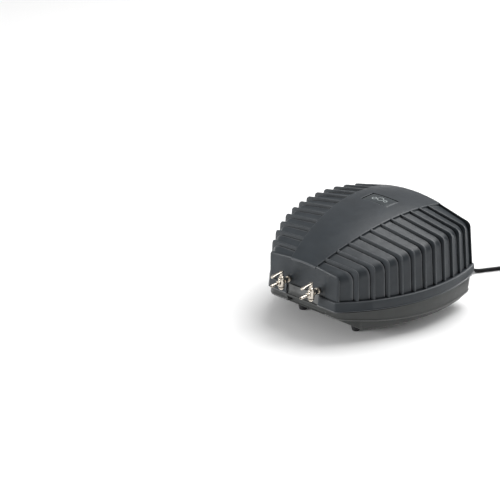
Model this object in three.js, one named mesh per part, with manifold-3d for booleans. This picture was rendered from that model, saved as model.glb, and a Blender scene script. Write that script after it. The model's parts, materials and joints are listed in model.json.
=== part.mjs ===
// Two-outlet diaphragm air pump for ponds and aquariums.
// Units are millimetres, +Z is up, the two air taps face -Y and the mains cord leaves at +Y.
// Heights inside the model are measured from the underside of the ribbed walls, and lengths from
// the first rib; the root group then moves the whole pump so that it stands on Z = 0.

import * as THREE from 'three';
import { mergeVertices } from 'three/addons/utils/BufferGeometryUtils.js';
import Module from 'manifold-3d';

const wasm = await Module();
wasm.setup();

// ---------------------------------------------------------------- driving dimensions

const PITCH = 18; // distance from rib to rib; most of the casing is proportioned from it
const RIB_COUNT = 11;
const RIB_THICKNESS = 2.6;
const RIM_THICKNESS = 2.6; // raised edge of the panels along the front and rear faces
const RIB_SWEEP = Math.atan(0.118); // the ribs lean back towards the cord end
const PANEL_RECESS = 3.2; // how far the panels lie below ribs and spine
const WALL = 3;
const GAP = 0.3; // clearance between touching pieces

const FRONT_Y = -0.82 * PITCH; // front face of the cover
const REAR_Y = 11.5 * PITCH; // rear face of the cover
const BAND_TOP = 0;
const BAND_BOTTOM = -0.76 * PITCH;
const BAND_SIDE = 0.11 * PITCH; // the band stands this far out of the walls
const BAND_FRONT = 0.15 * PITCH;
const SEAL_THICKNESS = 1.2;
const SHELL_TOP = BAND_BOTTOM - SEAL_THICKNESS - 2 * GAP;
const SHELL_EDGE_FRONT = -1.45 * PITCH; // bottom edge of the lower housing's wall, front and rear
const SHELL_EDGE_REAR = -2.11 * PITCH;
const SKIRT_BOTTOM = -2.45 * PITCH;
const SKIRT_FRONT_Y = 0.75 * PITCH;
const FLOOR_TOP = SKIRT_BOTTOM + WALL;
const STAND_Z = -3.45 * PITCH; // the surface that the pump stands on

const TAP_X = 1.47 * PITCH;
const TAP_Z = 0.37 * PITCH;
const TAP_PLUG_Y = -1.58 * PITCH; // axis of the turning plug
const TAP_TIP_Y = -2.7 * PITCH; // end of the hose tail

const FOOT_FRONT = { x: 2.65 * PITCH, y: 2.1 * PITCH };
const FOOT_REAR = { x: 4.3 * PITCH, y: 9.6 * PITCH };
const SCREW_FRONT = { x: 60, y: 30 };
const SCREW_REAR = { x: 76, y: 191 };

const CORD_RADIUS = 2.7;
const GLAND = { x: 36, z: -28, radius: 4.2, flange: 5 };
const COIL = { x: 118, y: 372, radius: 31, halfWidth: 8.2, height: 16.4 };
const PLUG = { x: 153, y: 318, z: STAND_Z + 9.2 };

// ---------------------------------------------------------------- materials

const material = (color, roughness, metalness = 0) =>
  new THREE.MeshStandardMaterial({ color, roughness, metalness });

const COVER_PLASTIC = material(0x4b5054, 0.55);
const HOUSING_PLASTIC = material(0x45494a, 0.6);
const BADGE_PLASTIC = material(0x3b4144, 0.45);
const BLACK_RUBBER = material(0x17181a, 0.85);
const CORD_RUBBER = material(0x101113, 0.7);
const NICKEL = material(0xd9d4c8, 0.22, 1);
const ZINC_STEEL = material(0xa9adb0, 0.4, 1);
const LAMINATION = material(0x6a6d72, 0.5, 0.8);
const COPPER = material(0xb5683c, 0.4, 0.9);
const WHITE_PLASTIC = material(0xd8d8d2, 0.5);
const MAGNET = material(0x3a3a3d, 0.5, 0.4);
const FOAM = material(0x2d3033, 0.95);
const HOSE = material(0x2b2d2f, 0.6);

// ---------------------------------------------------------------- solids from geometries

// Only positions are left, so that vertices shared by neighbouring faces merge into one.
const welded = (geometry) => {
  const bare = geometry.clone();
  bare.deleteAttribute('normal');
  bare.deleteAttribute('uv');
  return mergeVertices(bare, 1e-4);
};

const toSolid = (geometry) => {
  const merged = welded(geometry);
  return new wasm.Manifold(
    new wasm.Mesh({
      numProp: 3,
      vertProperties: new Float32Array(merged.attributes.position.array),
      triVerts: new Uint32Array(merged.index.array),
    }),
  );
};

const toGeometry = (solid) => {
  const mesh = solid.getMesh();
  const geometry = new THREE.BufferGeometry();
  geometry.setAttribute('position', new THREE.BufferAttribute(mesh.vertProperties, 3));
  geometry.setIndex(new THREE.BufferAttribute(mesh.triVerts, 1));
  geometry.computeVertexNormals();
  return geometry;
};

const union = (...geometries) =>
  geometries.slice(1).reduce((sum, g) => sum.add(toSolid(g)), toSolid(geometries[0]));

const cut = (geometry, ...tools) =>
  tools.reduce((rest, tool) => rest.subtract(toSolid(tool)), toSolid(geometry));

const box = (x0, x1, y0, y1, z0, z1) =>
  new THREE.BoxGeometry(x1 - x0, y1 - y0, z1 - z0).translate((x0 + x1) / 2, (y0 + y1) / 2, (z0 + z1) / 2);

const cylinderZ = (x, y, z0, z1, radius, sides = 20, topRadius = radius) =>
  new THREE.CylinderGeometry(topRadius, radius, z1 - z0, sides)
    .rotateX(Math.PI / 2)
    .translate(x, y, (z0 + z1) / 2);

const cylinderY = (x, z, y0, y1, radius, sides = 16) =>
  new THREE.CylinderGeometry(radius, radius, y1 - y0, sides).translate(x, (y0 + y1) / 2, z);

const cylinderX = (y, z, x0, x1, radius, sides = 24, endRadius = radius) =>
  new THREE.CylinderGeometry(endRadius, radius, x1 - x0, sides)
    .rotateZ(-Math.PI / 2)
    .translate((x0 + x1) / 2, y, z);

// Pieces are drawn for the right side; sign -1 gives the left one.
const mirrored = (geometry, sign) => {
  if (sign > 0) return geometry;
  return flipped(welded(geometry).scale(-1, 1, 1));
};

// A closed loop of points is a cross-section; a loft joins several of equal length.
const loft = (sections) => {
  const count = sections[0].length;
  const positions = sections.flat().flatMap((p) => [p.x, p.y, p.z]);
  const indices = [];
  for (let s = 0; s < sections.length - 1; s += 1) {
    for (let i = 0; i < count; i += 1) {
      const a = s * count + i;
      const b = s * count + ((i + 1) % count);
      indices.push(a, b, b + count, a, b + count, a + count);
    }
  }
  const addCap = (section, base, flip) => {
    const level = (axis) => section[0][axis] === section[1][axis] && section[0][axis] === section[2][axis];
    const flat = section.map((p) => {
      if (level('x')) return new THREE.Vector2(p.y, p.z);
      return level('y') ? new THREE.Vector2(p.x, p.z) : new THREE.Vector2(p.x, p.y);
    });
    for (const [a, b, c] of THREE.ShapeUtils.triangulateShape(flat, [])) {
      indices.push(...(flip ? [base + a, base + c, base + b] : [base + a, base + b, base + c]));
    }
  };
  addCap(sections[0], 0, true);
  addCap(sections[sections.length - 1], (sections.length - 1) * count, false);
  const geometry = new THREE.BufferGeometry();
  geometry.setAttribute('position', new THREE.Float32BufferAttribute(positions, 3));
  geometry.setIndex(indices);
  const signed = toSolid(geometry);
  return signed.volume() > 0 ? geometry : flipped(geometry);
};

// Turns every triangle of an indexed geometry around.
const flipped = (geometry) => {
  const index = Array.from(geometry.index.array);
  for (let i = 0; i < index.length; i += 3) {
    [index[i + 1], index[i + 2]] = [index[i + 2], index[i + 1]];
  }
  geometry.setIndex(index);
  return geometry;
};

// ---------------------------------------------------------------- shape of the casing

// Half width of an arched side: an arc that is widest at peakY.
const arch = (y, halfWidth, peakY, radius) =>
  halfWidth - radius + Math.sqrt(radius * radius - (y - peakY) * (y - peakY));

const baseHalfWidth = (y) => arch(y, 6.66 * PITCH, 7.7 * PITCH, 12.5 * PITCH);
const shoulderHalfWidth = (y) => arch(y, 6.38 * PITCH, 7.4 * PITCH, 12.6 * PITCH);
const shoulderHeight = (y) => 3.46 * PITCH - (0.019 / PITCH) * (y - 8 * PITCH) ** 2;
const spineHalfWidth = (y) => 2.76 * PITCH - (0.0118 / PITCH) * (y - 10.6 * PITCH) ** 2;
const spineEdgeHeight = (y) => 4.36 * PITCH - (0.0296 / PITCH) * (y - 7.7 * PITCH) ** 2;
const crownHeight = (y, x) => (0.04 / PITCH) * (spineHalfWidth(y) ** 2 - x * x);

// Right half of the casing's cross-section at y, from the wall's foot up to the middle of the spine.
// Everything lies `inset` inside the outer surface, and the shoulder is rounded with `round`.
const halfSection = (y, inset, round, footZ) => {
  const foot = new THREE.Vector2(baseHalfWidth(y) - inset, footZ);
  const corner = new THREE.Vector2(shoulderHalfWidth(y) - inset, shoulderHeight(y) - inset);
  const edge = new THREE.Vector2(spineHalfWidth(y), spineEdgeHeight(y) - inset);
  const down = corner.clone().sub(new THREE.Vector2(baseHalfWidth(y) - inset, 0)).normalize();
  const along = edge.clone().sub(corner).normalize();
  const start = corner.clone().addScaledVector(down, -round);
  const end = corner.clone().addScaledVector(along, round);
  const bend = new THREE.QuadraticBezierCurve(start, corner, end).getPoints(4);
  const middle = [1, 0.5, 0].map((f) => {
    const x = f * spineHalfWidth(y);
    return new THREE.Vector2(x, edge.y + crownHeight(y, x));
  });
  return [foot, ...bend, ...middle];
};

const fullSection = (y, inset, round, footZ) => {
  const right = halfSection(y, inset, round, footZ);
  const left = right.slice(0, -1).reverse().map((p) => new THREE.Vector2(-p.x, p.y));
  return [...right, ...left].map((p) => new THREE.Vector3(p.x, y, p.y));
};

const dome = (inset, round, footZ, frontY, rearY, steps = 12) =>
  loft(Array.from({ length: steps + 1 }, (_, i) =>
    fullSection(frontY + ((rearY - frontY) * i) / steps, inset, round, footZ)));

// Plan outline of the casing at one height, with rounded corners.
const planOutline = (z, { side, frontY, rearY, frontRound, rearRound }) => {
  const edgeX = (y) => baseHalfWidth(y) + side;
  const corner = (y, round, inward) => new THREE.QuadraticBezierCurve(
    new THREE.Vector2(edgeX(y) - round, y),
    new THREE.Vector2(edgeX(y), y),
    new THREE.Vector2(edgeX(y + inward * round), y + inward * round),
  ).getPoints(3);
  const front = corner(frontY, frontRound, 1);
  const rear = corner(rearY, rearRound, -1).reverse();
  const steps = 9;
  const flank = Array.from({ length: steps - 1 }, (_, i) => {
    const y = frontY + frontRound + ((rearY - rearRound - frontY - frontRound) * (i + 1)) / steps;
    return new THREE.Vector2(edgeX(y), y);
  });
  const right = [...front, ...flank, ...rear];
  const left = right.slice().reverse().map((p) => new THREE.Vector2(-p.x, p.y));
  return [...right, ...left].map((p) => new THREE.Vector3(p.x, p.y, z));
};

const BAND_PLAN = {
  side: BAND_SIDE, frontY: FRONT_Y - BAND_FRONT, rearY: REAR_Y + BAND_SIDE, frontRound: 2, rearRound: 2,
};
const SHELL_PLAN = {
  side: 0.5, frontY: FRONT_Y - 0.5, rearY: REAR_Y, frontRound: 9, rearRound: 15,
};
const SHELL_BOTTOM_PLAN = {
  side: -1.2, frontY: FRONT_Y + 0.3, rearY: REAR_Y - 1.5, frontRound: 9, rearRound: 16,
};
const SKIRT_TOP_PLAN = {
  side: -4.2, frontY: SKIRT_FRONT_Y, rearY: REAR_Y - 4, frontRound: 4, rearRound: 20,
};
const SKIRT_BOTTOM_PLAN = {
  side: -5.2, frontY: SKIRT_FRONT_Y + 1, rearY: REAR_Y - 6, frontRound: 4, rearRound: 22,
};
const inside = (plan, thickness) => ({
  ...plan,
  side: plan.side - thickness,
  frontY: plan.frontY + thickness,
  rearY: plan.rearY - thickness,
});
const prism = (plan, z0, z1, topPlan = plan) => loft([planOutline(z0, plan), planOutline(z1, topPlan)]);

// The wall's bottom edge sinks in an arc from the front towards the cord end.
const shellEdge = (y) => {
  const t = Math.min(1, (y + 0.8 * PITCH) / (8.6 * PITCH));
  return SHELL_EDGE_REAR + (SHELL_EDGE_FRONT - SHELL_EDGE_REAR) * (1 - t) ** 2;
};

// Everything below the wall's bottom edge, raised by `lift`.
const belowEdge = (lift) => {
  const steps = 10;
  const y0 = -0.8 * PITCH;
  const y1 = 7.8 * PITCH;
  const arc = Array.from({ length: steps + 1 }, (_, i) => y1 + ((y0 - y1) * i) / steps)
    .map((y) => [y, shellEdge(y) + lift]);
  const outline = [[-2 * PITCH, -3 * PITCH], [13 * PITCH, -3 * PITCH], [13 * PITCH, SHELL_EDGE_REAR + lift],
    ...arc, [-2 * PITCH, SHELL_EDGE_FRONT + lift]];
  return loft([-8 * PITCH, 8 * PITCH].map((x) => outline.map(([y, z]) => new THREE.Vector3(x, y, z))));
};

const corners = (place) => [-1, 1].map((sign) => ({ x: sign * place.x, y: place.y }));
const SCREWS = [...corners(SCREW_FRONT), ...corners(SCREW_REAR)];
const FEET = [...corners(FOOT_FRONT), ...corners(FOOT_REAR)];
const SIDES = [{ name: 'left', sign: -1 }, { name: 'right', sign: 1 }];
const CORNER_NAMES = ['front_left', 'front_right', 'rear_left', 'rear_right'];

// ---------------------------------------------------------------- cover

const BADGE = { halfX: 1.25 * PITCH, y0: 6.9 * PITCH, y1: 8.35 * PITCH, depth: 1.6 };
const NOTCH_HALF = 1.58 * PITCH; // opening in the band below the taps
const NOTCH_BACK_Y = FRONT_Y + 0.45 * PITCH;

const spineColumn = () => {
  const steps = 10;
  const frontY = FRONT_Y - 1;
  const right = Array.from({ length: steps + 1 }, (_, i) => {
    const y = frontY + ((REAR_Y - frontY) * i) / steps;
    return new THREE.Vector2(spineHalfWidth(y), y);
  });
  const left = right.slice().reverse().map((p) => new THREE.Vector2(-p.x, p.y));
  const shape = new THREE.Shape([...right, ...left]);
  const bottom = spineEdgeHeight(frontY) - 2 * PANEL_RECESS;
  return new THREE.ExtrudeGeometry(shape, { depth: 5 * PITCH - bottom, bevelEnabled: false })
    .translate(0, 0, bottom);
};

const ribSlab = (index, sign) => {
  const length = 7 * PITCH;
  const inner = spineHalfWidth(index * PITCH) - 4;
  const slab = new THREE.BoxGeometry(length, RIB_THICKNESS, 6 * PITCH)
    .translate(length / 2, 0, 2.5 * PITCH)
    .rotateZ(RIB_SWEEP)
    .translate(inner, index * PITCH, 0);
  return mirrored(slab, sign);
};

const topCover = () => {
  const outer = toSolid(dome(0, 6, BAND_TOP, FRONT_Y - 1, REAR_Y));
  let proud = toSolid(spineColumn());
  for (let i = 0; i < RIB_COUNT; i += 1) {
    for (const { sign } of SIDES) {
      proud = proud.add(toSolid(ribSlab(i, sign)));
    }
  }
  for (const rimY of [FRONT_Y, REAR_Y - 0.5 - RIM_THICKNESS]) {
    proud = proud.add(toSolid(box(-8 * PITCH, 8 * PITCH, rimY, rimY + RIM_THICKNESS, BAND_BOTTOM, 6 * PITCH)));
  }
  const ribs = outer.intersect(proud);
  const panels = toSolid(dome(PANEL_RECESS, 11, BAND_BOTTOM + 1, FRONT_Y, REAR_Y - 0.5));
  const band = toSolid(prism(BAND_PLAN, BAND_BOTTOM, BAND_TOP));
  const skin = PANEL_RECESS + WALL;
  const cavity = toSolid(dome(skin, 11, BAND_BOTTOM - 1, FRONT_Y + WALL, REAR_Y - 0.5 - WALL));
  const notch = toSolid(box(-NOTCH_HALF, NOTCH_HALF, -2 * PITCH, NOTCH_BACK_Y, -2 * PITCH, BAND_TOP));
  const bosses = SCREWS.map(({ x, y }) =>
    toSolid(cylinderZ(x, y, BAND_BOTTOM, 5 * PITCH, 5, 14)).intersect(panels.add(band)));
  const pilots = SCREWS.map(({ x, y }) => toSolid(cylinderZ(x, y, BAND_BOTTOM - 1, BAND_BOTTOM + 17, 2, 12)));
  const tapHoles = SIDES.map(({ sign }) =>
    toSolid(cylinderY(sign * TAP_X, TAP_Z, FRONT_Y - 4, FRONT_Y + WALL + 1, 3 + GAP)));
  const badgeTop = 5 * PITCH;
  const badgeBed = toSolid(box(-BADGE.halfX, BADGE.halfX, BADGE.y0, BADGE.y1,
    spineEdgeHeight(BADGE.y0) + crownHeight(BADGE.y0, BADGE.halfX) - BADGE.depth, badgeTop));
  let cover = panels.add(ribs).add(band).subtract(cavity);
  cover = bosses.reduce((sum, boss) => sum.add(boss), cover);
  for (const tool of [notch, badgeBed, ...pilots, ...tapHoles]) {
    cover = cover.subtract(tool);
  }
  return toGeometry(cover);
};

const nameBadge = () => {
  const inset = GAP;
  const bottom = spineEdgeHeight(BADGE.y0) + crownHeight(BADGE.y0, BADGE.halfX) - BADGE.depth + GAP;
  const outer = toSolid(dome(0.6, 6, BAND_TOP, FRONT_Y, REAR_Y));
  const block = toSolid(box(-BADGE.halfX + inset, BADGE.halfX - inset,
    BADGE.y0 + inset, BADGE.y1 - inset, bottom, 5 * PITCH));
  return toGeometry(outer.intersect(block));
};

// ---------------------------------------------------------------- lower housing

const RECESS = { x0: -1.6 * PITCH, x1: 2.15 * PITCH, backY: FRONT_Y + 0.5 * PITCH };
const FILTER_BAY = { halfX: 34, y0: 60, y1: 110 };

const lowerHousing = () => {
  const wall = cut(prism(SHELL_BOTTOM_PLAN, SHELL_EDGE_REAR, SHELL_TOP, SHELL_PLAN), belowEdge(0));
  const skirt = toSolid(prism(SKIRT_BOTTOM_PLAN, SKIRT_BOTTOM, SHELL_EDGE_FRONT + 1, SKIRT_TOP_PLAN));
  const tongue = toSolid(box(-NOTCH_HALF + GAP, NOTCH_HALF - GAP, FRONT_Y + 1, NOTCH_BACK_Y - GAP,
    SHELL_TOP - 1, BAND_TOP - GAP));
  const outer = wall.add(skirt).add(tongue);
  const cavityPlan = (plan) => ({ ...inside(plan, WALL), frontY: RECESS.backY + WALL });
  const upper = cut(prism(cavityPlan(SHELL_BOTTOM_PLAN), SHELL_EDGE_REAR, SHELL_TOP + 1, cavityPlan(SHELL_PLAN)),
    belowEdge(WALL));
  const lower = toSolid(prism(inside(SKIRT_BOTTOM_PLAN, WALL), FLOOR_TOP, SHELL_EDGE_FRONT + WALL + 1,
    inside(SKIRT_TOP_PLAN, WALL)));
  const hollow = upper.add(lower);
  const posts = SCREWS.map(({ x, y }) => toSolid(cylinderZ(x, y, SKIRT_BOTTOM + 0.5, SHELL_TOP, 6, 14)));
  const bores = SCREWS.flatMap(({ x, y }) => [
    toSolid(cylinderZ(x, y, SKIRT_BOTTOM - 1, SHELL_TOP + 1, 2 + GAP, 12)),
    toSolid(cylinderZ(x, y, SKIRT_BOTTOM - 1, SKIRT_BOTTOM + 8, 4, 12)),
  ]);
  const footHoles = FEET.map(({ x, y }) => toSolid(cylinderZ(x, y, SKIRT_BOTTOM - 1, FLOOR_TOP + 1, 3 + GAP, 12)));
  const recess = toSolid(box(RECESS.x0, RECESS.x1, -2 * PITCH, RECESS.backY, -2 * PITCH, SHELL_TOP - 3));
  const filterBay = toSolid(box(-FILTER_BAY.halfX, FILTER_BAY.halfX, FILTER_BAY.y0, FILTER_BAY.y1,
    SKIRT_BOTTOM - 1, FLOOR_TOP + 1));
  const glandHole = toSolid(cylinderY(GLAND.x, GLAND.z, REAR_Y - 8, REAR_Y + 8, GLAND.radius + GAP));
  let housing = outer.subtract(hollow);
  housing = posts.reduce((sum, post) => sum.add(post), housing);
  for (const tool of [recess, filterBay, glandHole, ...bores, ...footHoles]) {
    housing = housing.subtract(tool);
  }
  return toGeometry(housing);
};

const housingSeal = () => {
  const plan = inside(SHELL_PLAN, 0.5);
  const inner = { ...inside(SHELL_PLAN, WALL - 0.5), frontY: NOTCH_BACK_Y + GAP };
  const ring = cut(prism(plan, SHELL_TOP + GAP, BAND_BOTTOM - GAP), prism(inner, SHELL_TOP, BAND_BOTTOM));
  const tongueRoom = toSolid(box(-NOTCH_HALF, NOTCH_HALF, -2 * PITCH, NOTCH_BACK_Y, -2 * PITCH, 0));
  return toGeometry(ring.subtract(tongueRoom));
};

const filterCover = () => {
  const plate = box(-FILTER_BAY.halfX + GAP, FILTER_BAY.halfX - GAP,
    FILTER_BAY.y0 + GAP, FILTER_BAY.y1 - GAP, SKIRT_BOTTOM + 0.3, FLOOR_TOP - 0.5);
  const slots = Array.from({ length: 7 }, (_, i) =>
    box(-26, 26, FILTER_BAY.y0 + 6 + i * 6, FILTER_BAY.y0 + 8.5 + i * 6, SKIRT_BOTTOM - 1, FLOOR_TOP + 1));
  return toGeometry(cut(plate, ...slots));
};

const filterPad = () => box(-30, 30, FILTER_BAY.y0 + 4, FILTER_BAY.y1 - 4, FLOOR_TOP, FLOOR_TOP + 6);

const rubberFoot = ({ x, y }) => {
  const top = SKIRT_BOTTOM - GAP;
  const profile = [
    [0, STAND_Z], [4.6, STAND_Z], [5.4, STAND_Z + 1], [7.2, top - 5], [8.2, top - 4], [8.2, top],
    [3, top], [3, FLOOR_TOP + 1], [4.2, FLOOR_TOP + 1.2], [2.6, FLOOR_TOP + 4], [0, FLOOR_TOP + 4],
  ].map(([r, z]) => new THREE.Vector2(r, z));
  return new THREE.LatheGeometry(profile, 20).rotateX(Math.PI / 2).translate(x, y, 0);
};

const housingScrew = ({ x, y }) => toGeometry(union(
  cylinderZ(x, y, SKIRT_BOTTOM + 4, SKIRT_BOTTOM + 7.6, 3.4, 12),
  cylinderZ(x, y, SKIRT_BOTTOM + 7, BAND_BOTTOM + 15, 1.7, 10),
));

// ---------------------------------------------------------------- air taps

const TAP_BARREL = { radius: 4.6, below: 6.4, above: 6.2, bore: 2.7 };
const LEVER_Z = TAP_Z + 0.8 * PITCH;

const tapBody = (x) => {
  const tailStart = TAP_PLUG_Y - TAP_BARREL.radius;
  const barbs = [0, 1, 2].map((i) => {
    const y = TAP_TIP_Y + 1 + i * 3.4;
    return new THREE.CylinderGeometry(1.9, 2.6, 2.4, 14)
      .rotateX(Math.PI)
      .translate(x, y + 1.2, TAP_Z);
  });
  const body = union(
    cylinderY(x, TAP_Z, TAP_TIP_Y, tailStart + 1, 2.1, 14),
    cylinderY(x, TAP_Z, tailStart - 2.6, tailStart + 1, 3.4, 16),
    cylinderY(x, TAP_Z, TAP_PLUG_Y, FRONT_Y + 9, 3, 16),
    cylinderY(x, TAP_Z, TAP_PLUG_Y + 3, FRONT_Y - 4.4, 3.7, 16),
    cylinderZ(x, TAP_PLUG_Y, TAP_Z - TAP_BARREL.below, TAP_Z + TAP_BARREL.above, TAP_BARREL.radius, 20),
    ...barbs,
  );
  const bores = [
    cylinderY(x, TAP_Z, TAP_TIP_Y - 1, TAP_PLUG_Y, 1.2, 10),
    cylinderY(x, TAP_Z, TAP_PLUG_Y, FRONT_Y + 10, 1.6, 10),
    cylinderZ(x, TAP_PLUG_Y, TAP_Z - 8, TAP_Z + 8, TAP_BARREL.bore + GAP, 16),
  ].map(toSolid);
  return toGeometry(bores.reduce((rest, bore) => rest.subtract(bore), body));
};

const tapLever = (x) => {
  const handleTip = TAP_TIP_Y + 1;
  const bar = new THREE.Shape();
  bar.moveTo(-2.2, 2.4);
  bar.lineTo(2.2, 2.4);
  bar.lineTo(1.9, -4);
  bar.lineTo(2.5, handleTip - TAP_PLUG_Y + 2.5);
  bar.absarc(0, handleTip - TAP_PLUG_Y + 2.5, 2.5, 0, -Math.PI, true);
  bar.lineTo(-1.9, -4);
  const handle = new THREE.ExtrudeGeometry(bar, { depth: 2.6, bevelEnabled: false, curveSegments: 5 })
    .translate(x, TAP_PLUG_Y, LEVER_Z - 1.3);
  return toGeometry(union(
    cylinderZ(x, TAP_PLUG_Y, TAP_Z - TAP_BARREL.below - 0.6, TAP_Z + TAP_BARREL.above + 1, TAP_BARREL.bore, 16),
    cylinderZ(x, TAP_PLUG_Y, TAP_Z + TAP_BARREL.above + GAP, LEVER_Z, 2.4, 14),
    handle,
  ));
};

const tapCap = (x) => {
  const top = TAP_Z - TAP_BARREL.below - 0.6 - GAP;
  return toGeometry(union(
    cylinderZ(x, TAP_PLUG_Y, top - 1.2, top, 4.2, 16),
    cylinderZ(x, TAP_PLUG_Y, top - 3.6, top - 1, 2.5, 12),
  ));
};

const tapNut = (x) => toGeometry(cut(
  cylinderY(x, TAP_Z, FRONT_Y - 2.2, FRONT_Y - GAP, 4.5, 16),
  cylinderY(x, TAP_Z, FRONT_Y - 6, FRONT_Y + 2, 3 + GAP, 16),
));

const tapWasher = (x) => toGeometry(cut(
  cylinderY(x, TAP_Z, FRONT_Y + WALL + GAP, FRONT_Y + WALL + 2.4, 5.6, 6),
  cylinderY(x, TAP_Z, FRONT_Y, FRONT_Y + 9, 3 + GAP, 16),
));

// ---------------------------------------------------------------- magnetic drive

const CHASSIS = { z0: -30.5, z1: -28, halfX: 82, y0: 42, y1: 182 };
const CORE = { y0: 78, y1: 122, poleX0: 21, poleX1: 27, halfZ: 18, yokeHalfZ: 9, yokeHalfY: 9 };
const ARM = { x0: 33, x1: 37, y0: 74, pivotY: 166, halfZ: 11 };
const PIVOT_RADIUS = 2.6;
const CORE_MID_Y = (CORE.y0 + CORE.y1) / 2;
const DIAPHRAGM_Y = 104;
const HEAD = { ringX: 49, headX: 52, sheetX: 59.3, boxX: 60.8, endX: 74, half: 21 };
const BUFFERS = [...corners({ x: 70, y: 54 }), ...corners({ x: 66, y: 170 })];

const chassis = () => {
  const plate = box(-CHASSIS.halfX, CHASSIS.halfX, CHASSIS.y0, CHASSIS.y1, CHASSIS.z0, CHASSIS.z1);
  const windows = SIDES.map(({ sign }) =>
    box(sign > 0 ? 18 : -38, sign > 0 ? 38 : -18, 132, 154, CHASSIS.z0 - 1, CHASSIS.z1 + 1));
  return toGeometry(cut(plate, ...windows));
};

const bufferMount = ({ x, y }) => cylinderZ(x, y, FLOOR_TOP + GAP, CHASSIS.z0 - GAP, 6.5, 16, 5.5);

const magnetCore = () => {
  const poles = SIDES.map(({ sign }) => (sign > 0
    ? box(CORE.poleX0, CORE.poleX1, CORE.y0, CORE.y1, CHASSIS.z1 + GAP, CORE.halfZ)
    : box(-CORE.poleX1, -CORE.poleX0, CORE.y0, CORE.y1, CHASSIS.z1 + GAP, CORE.halfZ)));
  const yoke = box(-CORE.poleX0 - 1, CORE.poleX0 + 1, CORE_MID_Y - CORE.yokeHalfY, CORE_MID_Y + CORE.yokeHalfY,
    -CORE.yokeHalfZ, CORE.yokeHalfZ);
  return toGeometry(union(...poles, yoke));
};

const coilRing = (halfX, outer, inner) => toGeometry(cut(
  box(-halfX, halfX, CORE_MID_Y - CORE.yokeHalfY - outer, CORE_MID_Y + CORE.yokeHalfY + outer,
    -CORE.yokeHalfZ - outer, CORE.yokeHalfZ + outer),
  box(-halfX - 1, halfX + 1, CORE_MID_Y - CORE.yokeHalfY - inner, CORE_MID_Y + CORE.yokeHalfY + inner,
    -CORE.yokeHalfZ - inner, CORE.yokeHalfZ + inner),
));

const bobbin = () => {
  const sleeve = coilRing(CORE.poleX0 - GAP, 1.6, GAP);
  const flanges = SIDES.map(({ sign }) =>
    coilRing(0.8, 11, GAP).translate(sign * (CORE.poleX0 - GAP - 0.8), 0, 0));
  return toGeometry(union(sleeve, ...flanges));
};

const winding = () => coilRing(CORE.poleX0 - GAP - 1.6 - GAP, 10, 1.6 + GAP);

const swingArm = (sign) => {
  const arm = union(
    box(ARM.x0, ARM.x1, ARM.y0, ARM.pivotY - 5, -ARM.halfZ, ARM.halfZ),
    cylinderZ((ARM.x0 + ARM.x1) / 2, ARM.pivotY, -ARM.halfZ, ARM.halfZ, 6.5, 20),
    cylinderX(DIAPHRAGM_Y, 0, ARM.x1 - 1, ARM.x1 + 3, 4, 14),
  );
  const bore = toSolid(cylinderZ((ARM.x0 + ARM.x1) / 2, ARM.pivotY, -20, 20, PIVOT_RADIUS + GAP, 16));
  return mirrored(toGeometry(arm.subtract(bore)), sign);
};

const armMagnet = (sign) => mirrored(
  box(ARM.x0 - GAP - 3, ARM.x0 - GAP, CORE.y0 + 2, CORE.y1 - 2, -ARM.halfZ, ARM.halfZ), sign);

const pivotPin = (sign) => mirrored(
  toGeometry(union(
    cylinderZ((ARM.x0 + ARM.x1) / 2, ARM.pivotY, CHASSIS.z1 + GAP, ARM.halfZ + 4, PIVOT_RADIUS, 16),
    cylinderZ((ARM.x0 + ARM.x1) / 2, ARM.pivotY, CHASSIS.z1 + GAP, -ARM.halfZ - GAP, 6, 16),
  )), sign);

const diaphragm = (sign) => {
  const x0 = ARM.x1 + 3 + GAP;
  const x1 = HEAD.ringX - 2.4;
  const cup = union(
    cylinderX(DIAPHRAGM_Y, 0, x0, x1 - 1.6, 9, 24, 15),
    cylinderX(DIAPHRAGM_Y, 0, x1 - 2, x1, 16.5, 24),
  );
  const hollow = toSolid(cylinderX(DIAPHRAGM_Y, 0, x0 + 2, x1 + 1, 7, 24, 14));
  return mirrored(toGeometry(cup.subtract(hollow)), sign);
};

const clampRing = (sign) => mirrored(toGeometry(cut(
  cylinderX(DIAPHRAGM_Y, 0, HEAD.ringX, HEAD.headX - GAP, HEAD.half - 1, 28),
  cylinderX(DIAPHRAGM_Y, 0, HEAD.ringX - 1, HEAD.headX + 1, 15, 28),
)), sign);

const pumpHead = (sign) => {
  const block = union(
    box(HEAD.headX, HEAD.sheetX - GAP, DIAPHRAGM_Y - HEAD.half, DIAPHRAGM_Y + HEAD.half, -HEAD.half, HEAD.half),
    box(HEAD.headX, HEAD.sheetX - GAP, DIAPHRAGM_Y - 12, DIAPHRAGM_Y + 12, CHASSIS.z1 + GAP, -HEAD.half + 1),
  );
  const ports = [
    cylinderX(DIAPHRAGM_Y, 0, HEAD.headX - 1, HEAD.headX + 4, 14, 24),
    cylinderX(DIAPHRAGM_Y - 8, 0, HEAD.headX, HEAD.boxX + 1, 2, 10),
    cylinderX(DIAPHRAGM_Y + 8, 0, HEAD.headX, HEAD.boxX + 1, 2, 10),
  ].map(toSolid);
  return mirrored(toGeometry(ports.reduce((rest, port) => rest.subtract(port), block)), sign);
};

const HOSE_Z = 6;
const VALVE_BOX_SPIGOT_Y = DIAPHRAGM_Y - HEAD.half - 7;

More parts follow.
